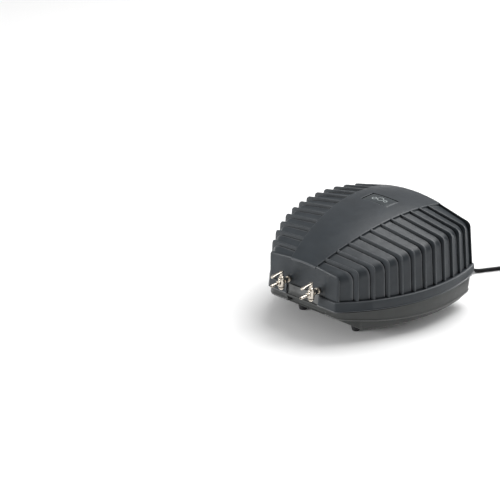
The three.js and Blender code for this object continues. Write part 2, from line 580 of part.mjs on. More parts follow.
const valveBox = (sign) => {
  const shell = union(
    box(HEAD.boxX, HEAD.endX, DIAPHRAGM_Y - HEAD.half, DIAPHRAGM_Y + HEAD.half, -HEAD.half, HEAD.half),
    cylinderY(66, HOSE_Z, VALVE_BOX_SPIGOT_Y, DIAPHRAGM_Y - HEAD.half + 1, 2.6, 14),
  );
  const rooms = [
    box(HEAD.boxX - 1, HEAD.endX - 2.5, DIAPHRAGM_Y - HEAD.half + 2.5, DIAPHRAGM_Y - 1.5,
      -HEAD.half + 2.5, HEAD.half - 2.5),
    box(HEAD.boxX - 1, HEAD.endX - 2.5, DIAPHRAGM_Y + 1.5, DIAPHRAGM_Y + HEAD.half - 2.5,
      -HEAD.half + 2.5, HEAD.half - 2.5),
    cylinderY(66, HOSE_Z, VALVE_BOX_SPIGOT_Y - 1, DIAPHRAGM_Y - HEAD.half + 4, 1.5, 10),
    cylinderX(DIAPHRAGM_Y + 10, 0, HEAD.endX - 4, HEAD.endX + 1, 3, 12),
  ].map(toSolid);
  return mirrored(toGeometry(rooms.reduce((rest, room) => rest.subtract(room), shell)), sign);
};

// One rubber sheet holds both valve flaps; a slot around most of each flap lets it lift.
const valveSheet = (sign) => {
  const sheet = box(HEAD.sheetX, HEAD.boxX - GAP, DIAPHRAGM_Y - HEAD.half, DIAPHRAGM_Y + HEAD.half,
    -HEAD.half, HEAD.half);
  const slots = [-8, 8].map((dy) => {
    const y = DIAPHRAGM_Y + dy;
    return cut(box(HEAD.sheetX - 1, HEAD.boxX + 1, y - 5, y + 5, -6, 6),
      box(HEAD.sheetX - 2, HEAD.boxX + 2, y - 4, y + 4, -7, 5));
  });
  return mirrored(toGeometry(slots.reduce((rest, slot) => rest.subtract(slot), toSolid(sheet))), sign);
};

const MANIFOLD = { halfX: 48, y0: 6, y1: 22, z0: -3, z1: 16 };

const airManifold = () => {
  const shell = union(
    box(-MANIFOLD.halfX, MANIFOLD.halfX, MANIFOLD.y0, MANIFOLD.y1, MANIFOLD.z0, MANIFOLD.z1),
    ...SIDES.map(({ sign }) => cylinderY(sign * TAP_X, TAP_Z, MANIFOLD.y0 - 5, MANIFOLD.y0 + 1, 3, 14)),
    ...SIDES.map(({ sign }) => cylinderY(sign * 38, HOSE_Z, MANIFOLD.y1 - 1, MANIFOLD.y1 + 6, 2.6, 14)),
  );
  const rooms = [
    box(-MANIFOLD.halfX + 2, MANIFOLD.halfX - 2, MANIFOLD.y0 + 2, MANIFOLD.y1 - 2, MANIFOLD.z0 + 2, MANIFOLD.z1 - 2),
    ...SIDES.map(({ sign }) => cylinderY(sign * TAP_X, TAP_Z, MANIFOLD.y0 - 6, MANIFOLD.y0 + 3, 1.6, 10)),
    ...SIDES.map(({ sign }) => cylinderY(sign * 38, HOSE_Z, MANIFOLD.y1 - 3, MANIFOLD.y1 + 7, 1.5, 10)),
  ].map(toSolid);
  return toGeometry(rooms.reduce((rest, room) => rest.subtract(room), shell));
};

// A round section swept along a smooth curve through hand-placed points.
const sweep = (points, radius, sides, steps) => {
  const path = new THREE.CatmullRomCurve3(points.map((p) => new THREE.Vector3(...p)), false, 'centripetal');
  const section = new THREE.Shape();
  Array.from({ length: sides }, (_, i) => (i * 2 * Math.PI) / sides).forEach((a, i) => {
    if (i === 0) section.moveTo(radius, 0);
    else section.lineTo(radius * Math.cos(a), radius * Math.sin(a));
  });
  return new THREE.ExtrudeGeometry(section, { steps, bevelEnabled: false, extrudePath: path });
};

const deliveryHose = (sign) => {
  const start = VALVE_BOX_SPIGOT_Y - GAP;
  const end = MANIFOLD.y1 + 6 + GAP;
  return sweep([
    [sign * 66, start, HOSE_Z], [sign * 66, start - 8, HOSE_Z], [sign * 56, 52, HOSE_Z + 2],
    [sign * 42, 40, HOSE_Z + 1], [sign * 38, end + 4, HOSE_Z], [sign * 38, end, HOSE_Z],
  ], 3.4, 10, 14);
};

const outletHose = (sign) => {
  const from = FRONT_Y + 9 + GAP;
  return cylinderY(sign * TAP_X, TAP_Z, from, MANIFOLD.y0 - 5 - GAP, 3.8, 14);
};

const terminalBlock = () => {
  const block = box(22, 50, 185.5, 197, FLOOR_TOP + GAP, FLOOR_TOP + 12);
  const holes = [28, 36, 44].map((x) => cylinderZ(x, 191, FLOOR_TOP + 4, FLOOR_TOP + 14, 2, 10));
  return toGeometry(cut(block, ...holes));
};

// ---------------------------------------------------------------- mains cord

const GLAND_END_Y = REAR_Y + 30;
const FLOOR_CORD_Z = STAND_Z + CORD_RADIUS + 0.1;

const cableGland = () => {
  const profile = [
    [0, REAR_Y - 8], [GLAND.radius, REAR_Y - 8], [GLAND.radius, REAR_Y + GAP],
    [GLAND.flange, REAR_Y + GAP], [GLAND.flange, REAR_Y + 4], [GLAND.radius, REAR_Y + 6],
    [3.5, GLAND_END_Y - 2], [3.3, GLAND_END_Y], [0, GLAND_END_Y],
  ].map(([r, y]) => new THREE.Vector2(r, y));
  return new THREE.LatheGeometry(profile, 18).translate(GLAND.x, 0, GLAND.z);
};

// From the gland the cord sinks to the floor in a soft S while it swings over to the coil.
const cordRun = () => {
  const ease = (t) => (1 - Math.cos(Math.PI * Math.min(1, Math.max(0, t)))) / 2;
  const endX = COIL.x - COIL.radius - 2 * CORD_RADIUS;
  const startY = GLAND_END_Y + GAP;
  const endY = COIL.y - 20;
  const steps = 16;
  return sweep(Array.from({ length: steps + 1 }, (_, i) => {
    const y = startY + ((endY - startY) * i) / steps;
    return [
      GLAND.x + (endX - GLAND.x) * ease((y - 250) / (COIL.y - 250)),
      y,
      GLAND.z + (FLOOR_CORD_Z - GLAND.z) * ease((y - 239) / 62),
    ];
  }), CORD_RADIUS, 10, 24);
};

const cordCoil = () => {
  const { x, y, radius, halfWidth, height } = COIL;
  const z0 = STAND_Z + 0.1;
  const profile = [
    [radius - halfWidth, z0], [radius + halfWidth, z0],
    [radius + halfWidth, z0 + height], [radius - halfWidth, z0 + height], [radius - halfWidth, z0],
  ].map(([r, z]) => new THREE.Vector2(r, z));
  return toGeometry(toSolid(new THREE.LatheGeometry(profile, 32).rotateX(Math.PI / 2).translate(x, y, 0)));
};

// The last stretch leaves the coil's far side and runs into the plug.
const cordTail = () => sweep([
  [COIL.x + 36.4, COIL.y - 22.4, FLOOR_CORD_Z],
  [COIL.x + 36.2, COIL.y - 28, FLOOR_CORD_Z],
  [COIL.x + 35.4, COIL.y - 38, FLOOR_CORD_Z + 3],
  [PLUG.x, PLUG.y + 5, PLUG.z],
  [PLUG.x, PLUG.y + GAP, PLUG.z],
], CORD_RADIUS, 10, 8);

const mainsPlug = () => {
  const { x, y, z } = PLUG;
  const outline = new THREE.Shape();
  outline.absarc(-9.5, 0, 9, Math.PI / 2, (3 * Math.PI) / 2);
  outline.absarc(9.5, 0, 9, -Math.PI / 2, Math.PI / 2);
  const head = new THREE.ExtrudeGeometry(outline, { depth: 24, bevelEnabled: false, curveSegments: 8 })
    .rotateX(Math.PI / 2)
    .translate(x, y - 16, z);
  const neck = new THREE.CylinderGeometry(4, 8.5, 17, 16).translate(x, y - 8.5, z);
  const pins = [-9.5, 9.5].map((dx) => cylinderY(x + dx, z, y - 58, y - 39, 2.4, 12));
  return toGeometry(union(head, neck, ...pins));
};

// ---------------------------------------------------------------- assembly

const pump = new THREE.Group();
pump.position.set(0, -(TAP_TIP_Y + REAR_Y + BAND_SIDE) / 2, -STAND_Z);

const place = (name, geometry, look) => {
  const mesh = new THREE.Mesh(geometry, look);
  mesh.name = name;
  pump.add(mesh);
};

place('top_cover', topCover(), COVER_PLASTIC);
place('name_badge', nameBadge(), BADGE_PLASTIC);
place('housing_seal', housingSeal(), BLACK_RUBBER);
place('lower_housing', lowerHousing(), HOUSING_PLASTIC);
place('filter_cover', filterCover(), HOUSING_PLASTIC);
place('filter_pad', filterPad(), FOAM);
FEET.forEach((foot, i) => place(`foot_${CORNER_NAMES[i]}`, rubberFoot(foot), BLACK_RUBBER));
SCREWS.forEach((screw, i) => place(`screw_${CORNER_NAMES[i]}`, housingScrew(screw), ZINC_STEEL));

for (const { name, sign } of SIDES) {
  const x = sign * TAP_X;
  place(`tap_body_${name}`, tapBody(x), NICKEL);
  place(`tap_lever_${name}`, tapLever(x), NICKEL);
  place(`tap_cap_${name}`, tapCap(x), NICKEL);
  place(`tap_nut_${name}`, tapNut(x), NICKEL);
  place(`tap_lock_nut_${name}`, tapWasher(x), NICKEL);
  place(`outlet_hose_${name}`, outletHose(sign), HOSE);
}

place('chassis', chassis(), ZINC_STEEL);
BUFFERS.forEach((buffer, i) => place(`buffer_${CORNER_NAMES[i]}`, bufferMount(buffer), BLACK_RUBBER));
place('magnet_core', magnetCore(), LAMINATION);
place('coil_bobbin', bobbin(), WHITE_PLASTIC);
place('coil_winding', winding(), COPPER);

for (const { name, sign } of SIDES) {
  place(`swing_arm_${name}`, swingArm(sign), ZINC_STEEL);
  place(`arm_magnet_${name}`, armMagnet(sign), MAGNET);
  place(`pivot_pin_${name}`, pivotPin(sign), ZINC_STEEL);
  place(`diaphragm_${name}`, diaphragm(sign), BLACK_RUBBER);
  place(`clamp_ring_${name}`, clampRing(sign), WHITE_PLASTIC);
  place(`pump_head_${name}`, pumpHead(sign), WHITE_PLASTIC);
  place(`valve_box_${name}`, valveBox(sign), WHITE_PLASTIC);
  place(`valve_sheet_${name}`, valveSheet(sign), BLACK_RUBBER);
  place(`delivery_hose_${name}`, deliveryHose(sign), HOSE);
}

place('air_manifold', airManifold(), WHITE_PLASTIC);
place('terminal_block', terminalBlock(), WHITE_PLASTIC);
place('cable_gland', cableGland(), BLACK_RUBBER);
place('cord_run', cordRun(), CORD_RUBBER);
place('cord_coil', cordCoil(), CORD_RUBBER);
place('cord_tail', cordTail(), CORD_RUBBER);
place('mains_plug', mainsPlug(), CORD_RUBBER);

export default pump;
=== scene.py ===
# Looks of the air pump: casing, taps, feet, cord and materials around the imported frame.
# Lengths in the shape tables are millimetres in the casing's own frame, where z = 0 is the foot
# of the ribbed walls and y = 0 the first rib; row() turns them into the frame's metres.

import json
import math

import bmesh
import bpy
import numpy as np
from mathutils import Matrix, Vector


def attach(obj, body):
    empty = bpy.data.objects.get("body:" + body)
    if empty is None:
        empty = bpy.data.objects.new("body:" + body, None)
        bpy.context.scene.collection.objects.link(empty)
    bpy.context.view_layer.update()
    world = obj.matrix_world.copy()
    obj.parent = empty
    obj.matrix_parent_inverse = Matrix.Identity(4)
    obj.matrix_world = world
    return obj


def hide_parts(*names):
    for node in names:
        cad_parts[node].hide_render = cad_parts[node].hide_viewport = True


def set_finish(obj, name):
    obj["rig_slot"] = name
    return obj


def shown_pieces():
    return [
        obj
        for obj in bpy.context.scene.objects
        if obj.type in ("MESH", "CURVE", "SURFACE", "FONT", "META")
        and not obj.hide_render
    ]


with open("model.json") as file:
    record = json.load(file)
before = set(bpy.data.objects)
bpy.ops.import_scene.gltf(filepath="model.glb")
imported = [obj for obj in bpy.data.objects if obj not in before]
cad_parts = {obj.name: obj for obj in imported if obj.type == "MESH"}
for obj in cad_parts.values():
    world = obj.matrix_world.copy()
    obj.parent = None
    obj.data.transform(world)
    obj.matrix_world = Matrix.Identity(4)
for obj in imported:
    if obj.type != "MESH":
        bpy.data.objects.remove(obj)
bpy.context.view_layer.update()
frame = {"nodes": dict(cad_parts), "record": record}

ORIGIN = np.array([0.0, -80.19, 62.1])  # the casing frame's origin, in the frame's millimetres


def row(points):
    """Casing millimetres to the frame's metres."""
    return (np.asarray(points, float) + ORIGIN) / 1000


# ---------------------------------------------------------------- camera

CAMERA_AZIMUTH = math.radians(43.9)
CAMERA_ELEVATION = math.radians(23.8)
CAMERA_AT = (1.6083, -1.8674, 1.1738)

lens = bpy.data.cameras.new("camera")
lens.lens, lens.sensor_width = 144, 36
lens.clip_start, lens.clip_end = 0.1, 50
camera = bpy.data.objects.new("camera", lens)
back = Vector((math.sin(CAMERA_AZIMUTH) * math.cos(CAMERA_ELEVATION),
               -math.cos(CAMERA_AZIMUTH) * math.cos(CAMERA_ELEVATION), math.sin(CAMERA_ELEVATION)))
right = Vector((math.cos(CAMERA_AZIMUTH), math.sin(CAMERA_AZIMUTH), 0))
camera.matrix_world = Matrix.Translation(CAMERA_AT) @ Matrix(
    (right, back.cross(right), back)).transposed().to_4x4()
bpy.context.scene.collection.objects.link(camera)
bpy.context.scene.camera = camera

# ---------------------------------------------------------------- dimensions

P = 18.0  # rib to rib
RIBS = 11
SWEEP = 0.118  # how fast the ribs run back with distance from the spine
RECESS = 3.2  # panels below ribs and spine
WALL = 3.0
FRONT, REAR = -0.82 * P, 11.5 * P  # end walls
BAND_BOTTOM = -0.76 * P
SHELL_TOP = BAND_BOTTOM - 1.8
EDGE_FRONT, EDGE_REAR = -1.45 * P, -2.11 * P  # bottom edge of the lower wall
SKIRT_BOTTOM = -2.45 * P
SKIRT_FRONT = 0.75 * P
STAND = -3.45 * P  # what the feet stand on
TAP_X, TAP_Z = 1.47 * P, 0.37 * P
TAP_PLUG_Y, TAP_TIP_Y = -1.58 * P, -2.7 * P
NOTCH_HALF = 1.58 * P  # of the gap in the band under the taps
CORD_RADIUS = 2.7
GLAND_X, GLAND_Z, GLAND_END = 36.0, -28.0, REAR + 30
COIL_X, COIL_Y = 118.0, 372.0
FLOOR_Z = STAND + CORD_RADIUS + 0.1  # the cord's middle where it lies


def arch(y, half, peak, radius):
    """Half width along a side that is an arc, widest at y = peak."""
    return half - radius + np.sqrt(radius ** 2 - (y - peak) ** 2)


def base_half(y):
    return arch(y, 6.66 * P, 7.7 * P, 12.5 * P)


def shoulder_half(y):
    return arch(y, 6.38 * P, 7.4 * P, 12.6 * P)


def shoulder_height(y):
    return 3.46 * P - 0.019 / P * (y - 8 * P) ** 2


def spine_half(y):
    return 2.76 * P - 0.0118 / P * (y - 10.6 * P) ** 2


def spine_edge(y):
    return 4.36 * P - 0.0296 / P * (y - 7.7 * P) ** 2


def crown(y, x):
    """How far the spine bulges above its edges."""
    return 0.04 / P * (spine_half(y) ** 2 - x ** 2)


# ---------------------------------------------------------------- mesh helpers

SMOOTH_ANGLE = 32  # degrees; a sharper edge is shaded as an edge
WELD, DEGENERATE = 2e-6, 1e-6  # metres


def shade(mesh, smooth_angle):
    mesh.shade_smooth()
    mesh.set_sharp_from_angle(angle=math.radians(smooth_angle))


def piece(name, vertices, faces, smooth_angle=SMOOTH_ANGLE):
    """A mesh object from casing millimetres, welded, with outward faces and smooth shading."""
    mesh = bpy.data.meshes.new(name)
    mesh.from_pydata([tuple(p) for p in row(vertices)], [], [tuple(f) for f in faces])
    bm = bmesh.new()
    bm.from_mesh(mesh)
    bmesh.ops.remove_doubles(bm, verts=bm.verts, dist=WELD)
    bmesh.ops.dissolve_degenerate(bm, edges=bm.edges, dist=DEGENERATE)
    bmesh.ops.recalc_face_normals(bm, faces=bm.faces)
    bm.to_mesh(mesh)
    bm.free()
    shade(mesh, smooth_angle)
    obj = bpy.data.objects.new(name, mesh)
    bpy.context.scene.collection.objects.link(obj)
    return obj


def combined(target, tools, operation, smooth_angle=SMOOTH_ANGLE):
    """Boolean of target with each tool; the tools are used up."""
    for tool in tools:
        change = target.modifiers.new("cut", "BOOLEAN")
        change.operation, change.solver, change.object = operation, "MANIFOLD", tool
        depsgraph = bpy.context.evaluated_depsgraph_get()
        result = bpy.data.meshes.new_from_object(target.evaluated_get(depsgraph))
        target.modifiers.clear()
        target.data = result
        bpy.data.objects.remove(tool)
    shade(target.data, smooth_angle)
    return target


def loft(loops, closed_ring=False):
    """Faces between equal loops; the first and last are capped, or joined to each other."""
    count = len(loops[0])
    faces = []
    last = len(loops) if closed_ring else len(loops) - 1
    for a in range(last):
        b = (a + 1) % len(loops)
        for i in range(count):
            j = (i + 1) % count
            faces.append((a * count + i, a * count + j, b * count + j, b * count + i))
    if not closed_ring:
        faces.append(tuple(range(count - 1, -1, -1)))
        faces.append(tuple(range((len(loops) - 1) * count, len(loops) * count)))
    return np.concatenate(loops), faces


def lathe(profile, axis, centre, sides=48):
    """A profile of (radius, distance along axis), closed where its ends have radius 0."""
    angles = np.arange(sides) * 2 * math.pi / sides
    loops = []
    for radius, along in profile:
        ring = np.zeros((sides, 3))
        first, second = [(1, 2), (0, 2), (0, 1)][axis]
        ring[:, first], ring[:, second] = radius * np.cos(angles), radius * np.sin(angles)
        ring[:, axis] = along
        loops.append(ring + np.asarray(centre, float))
    return loft(loops, closed_ring=profile[0][0] > 0)


def rounded_box(low, high, bevel, segments=2):
    """A box between two corners, with rounded edges where bevel isn't 0."""
    low, high = np.asarray(low, float), np.asarray(high, float)
    bm = bmesh.new()
    bmesh.ops.create_cube(bm, size=1)
    for vertex in bm.verts:
        vertex.co = Vector((low + high) / 2 + np.array(vertex.co) * (high - low))
    if bevel:
        bmesh.ops.bevel(bm, geom=bm.edges, offset=bevel, segments=segments, profile=0.5, affect="EDGES")
    vertices = np.array([v.co for v in bm.verts])
    faces = [[v.index for v in f.verts] for f in bm.faces]
    bm.free()
    return vertices, faces


def block(name, low, high):
    """A sharp box, for a boolean."""
    return piece(name, *rounded_box(low, high, 0))


def rod(name, radius, low, high, axis, centre, sides):
    """A plain cylinder, for a boolean."""
    return piece(name, *lathe([(0, low), (radius, low), (radius, high), (0, high)], axis, centre, sides))


def oval(half_width, half_height, width_power, height_power, sides):
    """Offsets (across, up) of a superellipse."""
    a = np.arange(sides) * 2 * math.pi / sides
    return (half_width * np.sign(np.cos(a)) * np.abs(np.cos(a)) ** width_power,
            half_height * np.sign(np.sin(a)) * np.abs(np.sin(a)) ** height_power)


def keep(obj, slot, *nodes, body="casing"):
    """The piece rides on a body, takes a slot's finish, and stands for the nodes."""
    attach(obj, body)
    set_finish(obj, slot)
    if nodes:
        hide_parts(*nodes)
    return obj


def both(parts):
    """Several (vertices, faces) as one."""
    vertices, faces, start = [], [], 0
    for part_vertices, part_faces in parts:
        vertices.append(part_vertices)
        faces += [tuple(i + start for i in f) for f in part_faces]
        start += len(part_vertices)
    return np.concatenate(vertices), faces


# ---------------------------------------------------------------- ribbed cover

FOOT_Z = -3.0  # the walls' foot, inside the band
FRONT_ROUND, CORNER_ROUND = 2.2, 1.4  # bends between flanks and end walls, above and below the shoulder
COVER_REAR = REAR - 0.5
SHOULDER_BEND, RECESS_BEND = 6, 5  # reach of the shoulder's bend, and how much more it has on a panel
SWEEP_START = 4  # how far inside the spine's edge the ribs begin to run back
# (v, share of the panel's recess): 0 the foot, 1 to 2 the shoulder's bend, 3 the spine's edge.
PANEL_COLUMNS = ([(v, 1) for v in np.linspace(0, 1, 12)] + [(v, 1) for v in np.linspace(1, 2, 13)[1:]]
                 + [(v, 1) for v in np.linspace(2, 2.98, 12)[1:]] + [(2.99, 0.97), (2.996, 0.85), (3, 0.6)])
# (distance inside the spine's edge, share of the recess, share of the nose) and then shares of the
# half width. The nose grows over these columns, so that the end wall's fan never folds over itself.
SPINE_EDGE_COLUMNS = [(0.06, 0.25, 0.45), (0.3, 0.07, 0.55), (0.8, 0, 0.65)]
SPINE_COLUMNS = np.linspace(0.96, 0, 14)
# (distance from a rib's middle, share of the recess); a groove runs along each rib's front.
RIB_REAR = [(0, 0), (0.7, 0), (1.0, 0.05), (1.2, 0.2), (1.3, 0.7), (1.45, 0.95), (1.9, 1), (2.9, 1), (3.9, 1)]
RIB_FRONT = [(0.7, 0), (1.0, 0.05), (1.2, 0.2), (1.25, 1.3), (1.5, 1.45), (2.5, 1.45), (2.75, 1.3),
             (2.95, 1), (3.9, 1)]
PANEL_ROWS = (6.6, 9.0, 11.4)
RIM_ROWS = [(1.6, 0), (2.1, 0.05), (2.4, 0.2), (2.55, 0.7), (2.7, 0.95), (3.2, 1)]  # from the end walls
# (y, drop) of the spine's front end, whose nose overhangs a little, from the top to the end wall
SPINE_NOSE = [(-0.2, 0), (-0.75, 0.15), (-1, 0.8), (-1, 2.2), (-0.85, 2.7), (-0.3, 2.88), (0, 2.9)]
REAR_NOSE_SHARE = 0.5  # of the front nose's overhang
HOLLOW_DEPTH = 2.6


def section(y, v, inset, bend):
    """Point (x, z) of the right half's section at y."""
    foot_x = base_half(y) - inset
    corner = np.stack([shoulder_half(y) - inset, shoulder_height(y) - inset])
    edge = np.stack([spine_half(y), spine_edge(y) - inset])
    down = corner - np.stack([foot_x, 0 * foot_x])
    down = down / np.linalg.norm(down, axis=0)
    along = (edge - corner) / np.linalg.norm(edge - corner, axis=0)
    start, end = corner - bend * down, corner + bend * along
    foot = np.stack([foot_x, np.full_like(foot_x, FOOT_Z)])
    t = v - 1
    arc = (1 - t) ** 2 * start + 2 * t * (1 - t) * corner + t ** 2 * end
    return np.where(v < 1, foot + (start - foot) * v, np.where(v < 2, arc, end + (edge - end) * (v - 2)))


def swept(s, x):
    """y of the rib line that leaves the spine at s."""
    return s + np.maximum(0, x - spine_half(s) + SWEEP_START) * SWEEP


def cover_half(outer):
    """Grid of the right half, from the front wall's rim to the rear wall's, foot to middle."""
    depth = 0 if outer else WALL
    front, rear = FRONT + depth, COVER_REAR - depth
    full = RECESS + WALL
    v = np.array([c[0] for c in PANEL_COLUMNS])
    share = np.array([c[1] for c in PANEL_COLUMNS])
    lean = np.clip(v - 0.8, 0, 1)
    edge_round = np.where(v < 1, CORNER_ROUND, CORNER_ROUND + (FRONT_ROUND - CORNER_ROUND) * lean)
    rows = []

    def add(y_of_x, recess, spine_y, spine_inset=0):
        """One line of points; recess is how deep the panels are on it."""
        x = np.full_like(v, 80.0)
        for _ in range(6):  # settles, because y depends on x and x on y
            y = y_of_x(x)
            inset = recess * share if outer else np.full_like(v, full)
            bend = SHOULDER_BEND + RECESS_BEND * np.clip(inset / RECESS, 0, 1)
            x, z = section(y, v, inset, bend)
        half, height = spine_half(spine_y), spine_edge(spine_y)
        drops = [(half - gap, max(spine_inset * nose, np.max(recess) * part))
                 for gap, part, nose in SPINE_EDGE_COLUMNS]
        drops += [(half * part, spine_inset) for part in SPINE_COLUMNS]
        spine = [(at, spine_y, height + crown(spine_y, at) - (drop if outer else full)) for at, drop in drops]
        rows.append(np.concatenate([np.stack([x, y, z], axis=1), np.array(spine)]))

    def add_bend(k, end, inward, nose_share):
        """Line k of the bend from the top (k = 0) into the end wall."""
        a = math.pi / 2 * k / (len(SPINE_NOSE) - 1)
        nose_y, nose_inset = SPINE_NOSE[k]
        add(lambda x: end + inward * edge_round * (1 - math.sin(a)), edge_round * (1 - math.cos(a)),
            end + inward * nose_y * nose_share, nose_inset)

    def add_swept(s, recess):
        add(lambda x: swept(s, x), recess, s)

    def add_mixed(straight, s, t):
        """A panel line a share t of the way from a straight line to a swept one."""
        add(lambda x: (1 - t) * straight + t * swept(s, x), RECESS, (1 - t) * straight + t * s)

    rim = RIM_ROWS[-1][0]
    for k in reversed(range(len(SPINE_NOSE))):
        add_bend(k, front, 1, 1)
    for offset, part in RIM_ROWS:
        add(lambda x: front + offset + 0 * x, RECESS * part, front + offset)
    for t in (0.15, 0.4, 0.7):
        add_mixed(front + rim, -RIB_FRONT[-1][0], t)
    for rib in range(RIBS):
        offsets = [(-o, m) for o, m in RIB_FRONT[::-1]] + RIB_REAR
        if rib < RIBS - 1:
            offsets += [(o, 1) for o in PANEL_ROWS]
        for offset, part in offsets:
            add_swept(rib * P + offset, RECESS * part)
    for t in (0.7, 0.4, 0.15):
        add_mixed(rear - rim, (RIBS - 1) * P + RIB_REAR[-1][0], t)
    for offset, part in RIM_ROWS[::-1]:
        add(lambda x: rear - offset + 0 * x, RECESS * part, rear - offset)
    for k in range(len(SPINE_NOSE)):
        add_bend(k, rear, -1, REAR_NOSE_SHARE)
    return np.array(rows)


def face_fan(rim, hollow):
    """The flat end wall inside a rim, drawn in towards the middle of its foot.

    Its lines start at the rim's own points and soon spread evenly, so that none lie too close.
    """
    middle = np.array([0, rim[0, 1], FOOT_Z])
    run = np.concatenate([[0], np.cumsum(np.linalg.norm(np.diff(rim, axis=0), axis=1))])
    even = np.linspace(0, run[-1], len(rim))
    spread = np.stack([np.interp(even, run, rim[:, axis]) for axis in range(3)], axis=1)
    rows = []
    for t in np.linspace(1, 0, 30):
        line = middle + t * (rim + min(1, (1 - t) * 6) * (spread - rim) - middle)
        line[:, 1] = rim[:, 1] + hollow(line[:, 0], line[:, 2]) * min(1, (1 - t) * 12)
        rows.append(line)
    return np.array(rows)


def flat(x, z):
    return 0 * x


def smoothstep(low, high, value):
    t = np.clip((value - low) / (high - low), 0, 1)
    return t * t * (3 - 2 * t)


def front_hollow(x, z):
    """The shallow trough around the taps."""
    across, up = smoothstep(1.1 * P, 2.3 * P, np.abs(x)), smoothstep(0.9 * P, 2.6 * P, z)
    return HOLLOW_DEPTH * (1 - across) * (1 - up)


def grid_faces(rows, columns, start=0):
    return [(start + r * columns + c, start + r * columns + c + 1,
             start + (r + 1) * columns + c + 1, start + (r + 1) * columns + c)
            for r in range(rows - 1) for c in range(columns - 1)]


def cover_skin(outer):
    """Both halves and both end walls of one skin."""
    half = cover_half(outer)
    ends = [face_fan(half[0], front_hollow if outer else flat), face_fan(half[-1], flat)]
    parts = []
    for grid in [half] + ends:
        for sign in (1, -1):
            points = grid.reshape(-1, 3) * np.array([sign, 1, 1])
            parts.append((points, grid_faces(grid.shape[0], grid.shape[1])))
    return both(parts)


def plan(side, front, rear, front_round, rear_round):
    """Closed outline of the casing seen from above, side mm outside the walls."""
    def edge(y):
        return base_half(y) + side
    bend = np.linspace(0, 1, 9)[:, None]

    def corner(y, radius, inward):
        a = np.array([edge(y) - radius, y])
        b = np.array([edge(y), y])
        c = np.array([edge(y + inward * radius), y + inward * radius])
        return (1 - bend) ** 2 * a + 2 * bend * (1 - bend) * b + bend ** 2 * c
    near, far = corner(front, front_round, 1), corner(rear, rear_round, -1)[::-1]
    ys = np.linspace(front + front_round, rear - rear_round, 62)[1:-1]
    across_near = np.linspace(0, 1, 10)[:-1, None] * near[0] * [1, 0] + [0, front]
    across_far = np.linspace(1, 0, 10)[1:, None] * far[-1] * [1, 0] + [0, rear]
    half = np.concatenate([across_near, near, np.stack([edge(ys), ys], axis=1), far, across_far])
    return np.concatenate([half, half[-2:0:-1] * [-1, 1]])


def at_height(outline, z):
    """The outline as points, at a height or at heights that depend on y."""
    heights = z(outline[:, 1]) if callable(z) else np.full(len(outline), z)
    return np.concatenate([outline, heights[:, None]], axis=1)


BAND_OUT, BAND_FRONT_OUT = 1.98, 2.7  # how far its face stands outside the walls
BAND_BEND = 2.2


def band_loop(offset, z):
    """The band's outline, offset from its outer face."""
    out = BAND_OUT + offset
    bend = max(0.5, BAND_BEND + min(0, offset))
    return at_height(plan(out, FRONT - BAND_FRONT_OUT - offset, REAR + out, bend, bend), z)


def open_skin(name, outer):
    """One skin of the cover, open at its foot. Its faces point outward, or inward for the inner skin."""
    obj = piece(name, *cover_skin(outer))
    bm = bmesh.new()
    bm.from_mesh(obj.data)
    if (bm.calc_volume(signed=True) > 0) != outer:
        obj.data.flip_normals()
    bm.free()
    return obj


cover = open_skin("cover_shell", True)
bm = bmesh.new()
bm.from_mesh(cover.data)
inner_skin = open_skin("cover_inside", False)
bm.from_mesh(inner_skin.data)
bpy.data.objects.remove(inner_skin)
bmesh.ops.bridge_loops(bm, edges=[e for e in bm.edges if e.is_boundary])
bmesh.ops.recalc_face_normals(bm, faces=bm.faces)
if bm.calc_volume(signed=True) < 0:
    bmesh.ops.reverse_faces(bm, faces=bm.faces)
bm.to_mesh(cover.data)
bm.free()

# (offset outwards, z) round the band's section: a chamfered ledge at its top, a bead at its bottom
BAND_PROFILE = [(-6.5, -0.05), (-1.6, 0), (-1.3, -0.08), (-0.15, -1.15), (0, -1.5), (0.1, -11.7),
                (0.25, -11.9), (1.15, -12.8), (1.25, -13.1), (1.1, -13.4), (0.2, -13.65), (-1.2, -13.68),
                (-6.5, -13.68)]
NOTCH_BACK = FRONT + 0.45 * P
BADGE = {"half": 1.25 * P, "y0": 6.9 * P, "y1": 8.35 * P}
badge_z = float(spine_edge(BADGE["y0"]) + crown(BADGE["y0"], BADGE["half"])) - 1.6
band = piece("cover_band", *loft([band_loop(o, z) for o, z in BAND_PROFILE], closed_ring=True))
cover = combined(cover, [band], "UNION")
notch = block("notch", (-NOTCH_HALF, -2 * P, -2 * P), (NOTCH_HALF, NOTCH_BACK, 0))
bed = block("bed", (-BADGE["half"], BADGE["y0"], badge_z), (BADGE["half"], BADGE["y1"], 5 * P))
cover = combined(cover, [notch, bed], "DIFFERENCE")
keep(cover, "cover_plastic", "top_cover")

# ---------------------------------------------------------------- badge

BADGE_RIM = 0.9  # groove around the plate
BADGE_DROP = 0.35  # of the plate below the spine, and of its border below the plate


